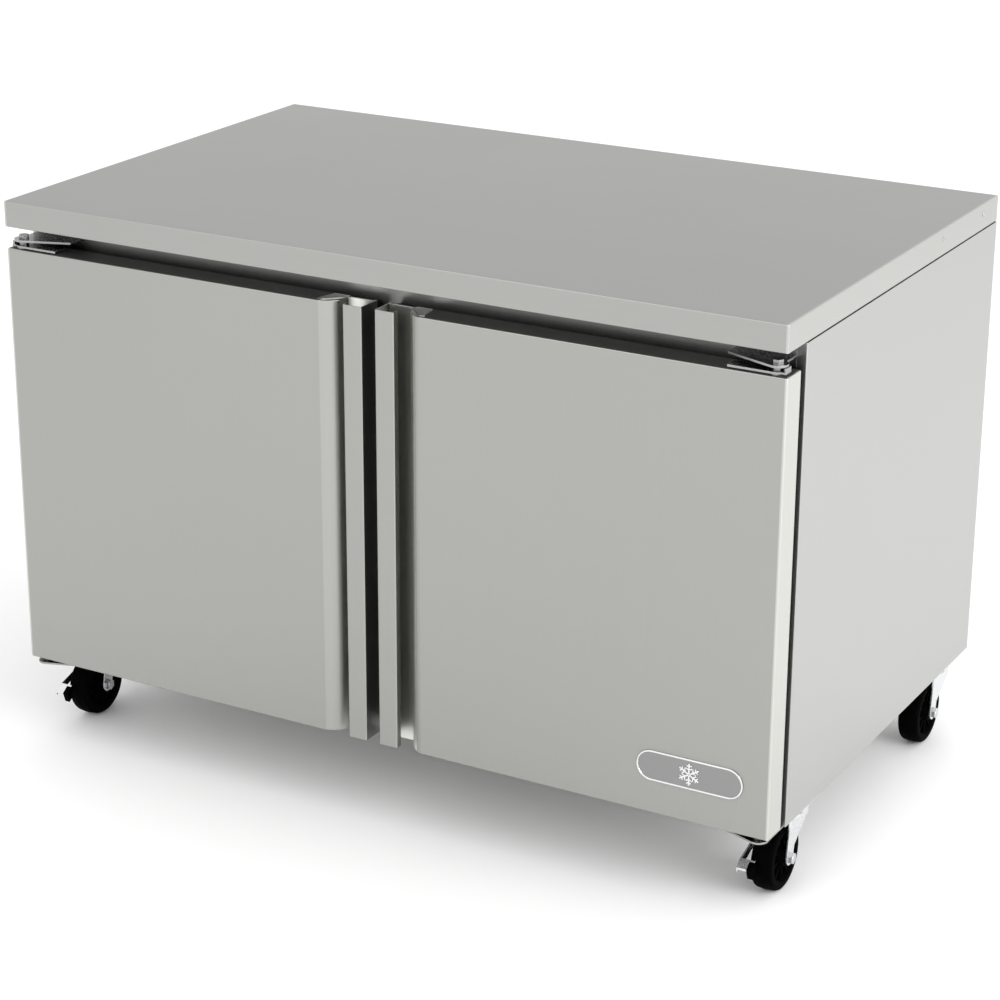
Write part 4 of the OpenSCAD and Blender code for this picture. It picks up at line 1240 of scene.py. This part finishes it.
def rows_tree():
    tree, given, out = node_tree("repeat_in_rows", [
        ("Template", "NodeSocketObject"), ("Columns", "NodeSocketInt"), ("Rows", "NodeSocketInt"),
        ("Column Step", "NodeSocketVector"), ("Row Step", "NodeSocketVector"),
        ("Material", "NodeSocketMaterial")])
    template = tree.nodes.new("GeometryNodeObjectInfo")
    tree.links.new(given.outputs["Template"], template.inputs["Object"])
    lines = []
    for count, step in (("Columns", "Column Step"), ("Rows", "Row Step")):
        line = tree.nodes.new("GeometryNodeMeshLine")
        tree.links.new(given.outputs[count], line.inputs["Count"])
        tree.links.new(given.outputs[step], line.inputs["Offset"])
        lines.append(line)
    field = tree.nodes.new("GeometryNodeInstanceOnPoints")
    tree.links.new(lines[0].outputs[0], field.inputs["Points"])
    tree.links.new(lines[1].outputs[0], field.inputs["Instance"])
    flat = tree.nodes.new("GeometryNodeRealizeInstances")
    tree.links.new(field.outputs[0], flat.inputs[0])
    start = tree.nodes.new("GeometryNodeInstanceOnPoints")
    tree.links.new(given.outputs["Geometry"], start.inputs["Points"])
    tree.links.new(flat.outputs[0], start.inputs["Instance"])
    spread = tree.nodes.new("GeometryNodeRealizeInstances")
    tree.links.new(start.outputs[0], spread.inputs[0])
    place = tree.nodes.new("GeometryNodeInstanceOnPoints")
    tree.links.new(spread.outputs[0], place.inputs["Points"])
    tree.links.new(template.outputs["Geometry"], place.inputs["Instance"])
    finish_tree(tree, given, out, place.outputs[0])
    return tree


def grown(name, tree, points, material, **values):
    """Runs a node tree on a few points and returns the result as one plain mesh object."""
    mesh = bpy.data.meshes.new(name + "_points")
    mesh.from_pydata([tuple(p) for p in points], [], [])
    obj = bpy.data.objects.new(name, mesh)
    bpy.context.scene.collection.objects.link(obj)
    modifier = obj.modifiers.new("grow", "NODES")
    modifier.node_group = tree
    sockets = {item.name: item.identifier for item in tree.interface.items_tree if item.in_out == "INPUT"}
    values["Material"] = FINISH[material]
    for label, value in values.items():
        modifier[sockets[label.replace("_", " ")]] = value
    applied(obj)
    print(name, len(obj.data.polygons), "faces from", len(points), "points")
    return obj


FASTENERS = fasteners_tree()
ROWS = rows_tree()


# %% [markdown]
# **Screws and bolts.** A pan-head screw has a low domed head with a cross recess. A caster bolt has a
# chamfered hexagon over a plain washer.

# %% Fastener templates
HEAD_STEPS = 28
WASHER_THICKNESS = 1.1 * MM


def turned_solid(name, section):
    """Turns a (radius, z) path that starts and ends on the axis round Z."""
    angles = [2 * math.pi * i / HEAD_STEPS for i in range(HEAD_STEPS)]
    bm = bmesh.new()
    rings = []
    for r, z in section:
        if r == 0:
            rings.append([bm.verts.new((0, 0, z))])
        else:
            rings.append([bm.verts.new((r * math.cos(a), r * math.sin(a), z)) for a in angles])
    for a, b in zip(rings, rings[1:]):
        for i in range(HEAD_STEPS):
            j = (i + 1) % HEAD_STEPS
            corners = [a[i % len(a)], a[j % len(a)], b[j % len(b)], b[i % len(b)]]
            unique = list(dict.fromkeys(corners))
            if len(unique) > 2:
                bm.faces.new(unique)
    return add_object(name, to_mesh(bm, name), "screw_steel")


def plain_lift(u, v, w):
    return Vector((u, v, w))


def cross_screw(radius, height):
    head = turned_solid("screw_head", [(0, 0), (radius, 0), (radius, height * 0.45),
                                       (radius * 0.93, height * 0.7), (radius * 0.7, height * 0.9),
                                       (0, height)])
    for along, across in ((0.55, 0.13), (0.13, 0.55)):
        bar = plan_box(-radius * along, radius * along, -radius * across, radius * across)
        tool = prism("cross", bar, height * 0.4, height * 1.5, plain_lift, "screw_steel")
        cut = head.modifiers.new("cross", "BOOLEAN")
        cut.object = tool
        cut.operation = "DIFFERENCE"
        applied(head)
        bpy.data.objects.remove(tool)
    return head


def hex_bolt(radius, height):
    washer = turned_solid("washer", [(0, 0), (radius * 1.3, 0), (radius * 1.3, WASHER_THICKNESS - 0.2 * MM),
                                     (radius * 1.22, WASHER_THICKNESS), (0, WASHER_THICKNESS)])
    angles = [math.radians(60 * i) for i in range(6)]
    corners = [(radius * math.cos(a), radius * math.sin(a)) for a in angles]
    head = eased(prism("hexagon", corners, 1.0 * MM, height, plain_lift, "screw_steel"), 0.5 * MM)
    foot, top = height - 0.4 * MM, height + 0.25 * MM
    crown = turned_solid("crown", [(0, foot), (radius * 0.8, foot), (radius * 0.72, top), (0, top)])
    return joined("bolt_head", [washer, head, crown], "screw_steel")


# %% [markdown]
# The CAD screws give every place: their centres sort into the two side walls and the rear grille, and each
# set stands on the outer face of its screws.

# %% Set the fasteners
SIDE_WALL = 0.6
BOLT_SINK = 1.9 * MM
screws = islands("panel_screws")
on_sides = [(c, s) for c, s in screws if s.x < s.y]
screw_sets = {
    "right": ((1, 0, 0), [c - Vector((s.x / 2, 0, 0)) for c, s in on_sides if c.x > SIDE_WALL]),
    "left": ((-1, 0, 0), [c + Vector((s.x / 2, 0, 0)) for c, s in on_sides if c.x < -SIDE_WALL]),
    "rear": ((0, 1, 0), [c - Vector((0, s.y / 2, 0)) for c, s in screws if s.y < s.x]),
}
made = []
screw = cross_screw(3.5 * MM, 2.0 * MM)
flat_screw = cross_screw(3.2 * MM, 1.0 * MM)
for seed, (label, (axis, points)) in enumerate(screw_sets.items()):
    template = screw if label == "rear" else flat_screw
    made.append(grown("screws_" + label, FASTENERS, points, "screw_steel", Fastener=template,
                      Axis=axis, Turn_Seed=seed + 3))
screw_set = shade(joined("panel_screw_set", made, "screw_steel"), weighted=False)
hand_over(screw_set, "cabinet", "screw_steel", "panel_screws")
bpy.data.objects.remove(screw)
bpy.data.objects.remove(flat_screw)

bolt = hex_bolt(6.5 * MM, 4.6 * MM)
bolt_points = [c + Vector((0, 0, s.z / 2 - BOLT_SINK)) for c, s in islands("caster_bolts")]
bolt_set = grown("caster_bolt_set", FASTENERS, bolt_points, "screw_steel", Fastener=bolt,
                 Axis=(0, 0, -1), Turn_Seed=11)
hand_over(shade(bolt_set, weighted=False), "cabinet", "screw_steel", "caster_bolts")
bpy.data.objects.remove(bolt)

# %% [markdown]
# **Louvres.** The rear grille is cut and pressed in one stroke: over every slot the metal is pushed out into
# a small hood that keeps drips off the machine.

# %% Louvres
LOUVRE_PITCH = 14 * MM
LOUVRE_ROWS = 12
LOUVRE_FIELDS = ((-460, -80, 4), (220, 440, 2))
LOUVRE_FILL = 0.82
LOUVRE_SINK = 0.4 * MM
LOUVRE_SHEET = 0.8 * MM
grille_low, grille_high = (Vector(v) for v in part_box("rear_grille"))
LOUVRE_LOW = grille_low.z + 40 * MM


def louvre(width):
    path = round_corners([(0, 7.2 * MM), (3.4 * MM, 5.4 * MM), (3.9 * MM, 1.6 * MM)], 2.5 * MM, 4)
    return prism("louvre", thick_outline(path, LOUVRE_SHEET), 0, width, sideways, "galvanised_steel")


louvres = []
for start, end, count in LOUVRE_FIELDS:
    pitch = (end - start) / count * MM
    hood = louvre(pitch * LOUVRE_FILL)
    louvres.append(grown(f"louvres_{count}", ROWS, [(start * MM, grille_high.y - LOUVRE_SINK, LOUVRE_LOW)],
                         "galvanised_steel", Template=hood, Columns=count, Rows=LOUVRE_ROWS,
                         Column_Step=(pitch, 0, 0), Row_Step=(0, 0, LOUVRE_PITCH)))
    bpy.data.objects.remove(hood)
louvre_set = shade(joined("grille_louvres", louvres, "galvanised_steel"), weighted=False)
hand_over(louvre_set, "cabinet", "galvanised_steel")

# %% [markdown]
# **Bay closers.** Narrow galvanised strips close the foam where it would show beside and under the grille.

# %% Bay closers
BAY_SIDE = 579 * MM
FLANGE_END = 597 * MM
BAY_FRONT = FRONT_EDGE + 566 * MM
CLOSER_GAP = 0.2 * MM
SOLE_TOP, SOLE_FOOT = 0.1 * MM, 1.2 * MM
foam_low = Vector(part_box("cabinet_foam")[0])
closers = []
for side, sign in SIDES.items():
    for label, inner, front, low_z, high_z in (
            ("edge", grille_high.x + CLOSER_GAP, grille_low.y, foam_low.z, grille_high.z),
            ("foot", BAY_SIDE, grille_low.y, foam_low.z, grille_low.z - CLOSER_GAP),
            ("sole", BAY_SIDE, BAY_FRONT, foam_low.z - SOLE_FOOT, foam_low.z - SOLE_TOP)):
        outline = plan_box(inner, FLANGE_END, front, grille_high.y)
        closers.append(prism(f"{side}_{label}_closer", outline, low_z, high_z, upright(sign),
                             "galvanised_steel"))
hand_over(joined("bay_closers", closers, "galvanised_steel"), "cabinet", "galvanised_steel")

# %% [markdown]
# ## Inside
# The storage space is one pressed liner with coved corners that wipe clean, and each door has a formed inner
# pan whose raised centre fits between the gasket's sides.

# %% Liner
COVE = 14 * MM
STEP_BACK = FRONT_EDGE + 520 * MM
STEP_HEIGHT = 430 * MM
LINER = 1.0 * MM
STEP_NOSE = 3.5 * MM


def liner():
    low, high = (Vector(v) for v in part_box("inner_liner"))
    low += Vector((LINER, 0, LINER))
    high -= Vector((LINER, LINER, LINER))
    profile = [(low.y, low.z), (STEP_BACK, low.z), (STEP_BACK, STEP_HEIGHT), (high.y, STEP_HEIGHT),
               (high.y, high.z), (low.y, high.z)]
    path = round_corners(profile, [COVE, STEP_NOSE, COVE, COVE], 5)
    bm = bmesh.new()
    rings = [[bm.verts.new((x, p[0], p[1])) for p in path] for x in (low.x, high.x)]
    count = len(path)
    for i in range(count - 1):
        bm.faces.new((rings[0][i], rings[0][i + 1], rings[1][i + 1], rings[1][i]))
    ends = [bm.faces.new(rings[0]), bm.faces.new(rings[1])]
    bmesh.ops.recalc_face_normals(bm, faces=bm.faces)
    folds = [e for f in ends for e in f.edges if len(e.link_faces) == 2]
    bmesh.ops.bevel(bm, geom=folds, offset=COVE * 0.5, segments=FOLD_SEGMENTS, profile=0.5, affect="EDGES",
                    clamp_overlap=True)
    tub = add_object("coved_liner", to_mesh(bm, "coved_liner", recalc=False), "liner_white")
    return shade(with_thickness(tub, LINER, offset=1))


hand_over(liner(), "cabinet", "liner_white", "inner_liner")

# %% [markdown]
# **Door pans.** A flat sheet closes the back of the door, and the plug is a folded pan on it.

# %% Door pans
PLUG_LOW = Vector((46 * MM, 0, DOOR_BOTTOM + 56 * MM))
PLUG_HIGH = Vector((534 * MM, 0, DOOR_TOP - 42 * MM))
PLUG_FOLD = 3.2 * MM
PAN_SINK, PAN_RISE = 1 * MM, 0.4 * MM


def door_pan(side, sign):
    low, high = (Vector(v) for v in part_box(side + "_door_liner"))
    inner, outer = sorted((abs(low.x), abs(high.x)))
    outline = plan_box(inner, outer, DOOR_BACK - PAN_SINK, DOOR_BACK + PAN_RISE)
    flat = rounded_plate(side + "_pan_flat", outline, low.z, high.z, sign, "liner_white")
    ends = sorted((sign * PLUG_LOW.x, sign * PLUG_HIGH.x))
    plug = folded_pan(side + "_pan_plug", (ends[0], DOOR_BACK - PAN_SINK, PLUG_LOW.z),
                      (ends[1], high.y, PLUG_HIGH.z), ("-y",), PLUG_FOLD, "liner_white")
    return shade(joined(side + "_door_pan", [flat, plug], "liner_white"))


for side, sign in SIDES.items():
    hand_over(door_pan(side, sign), side + "_door", "liner_white", side + "_door_liner")
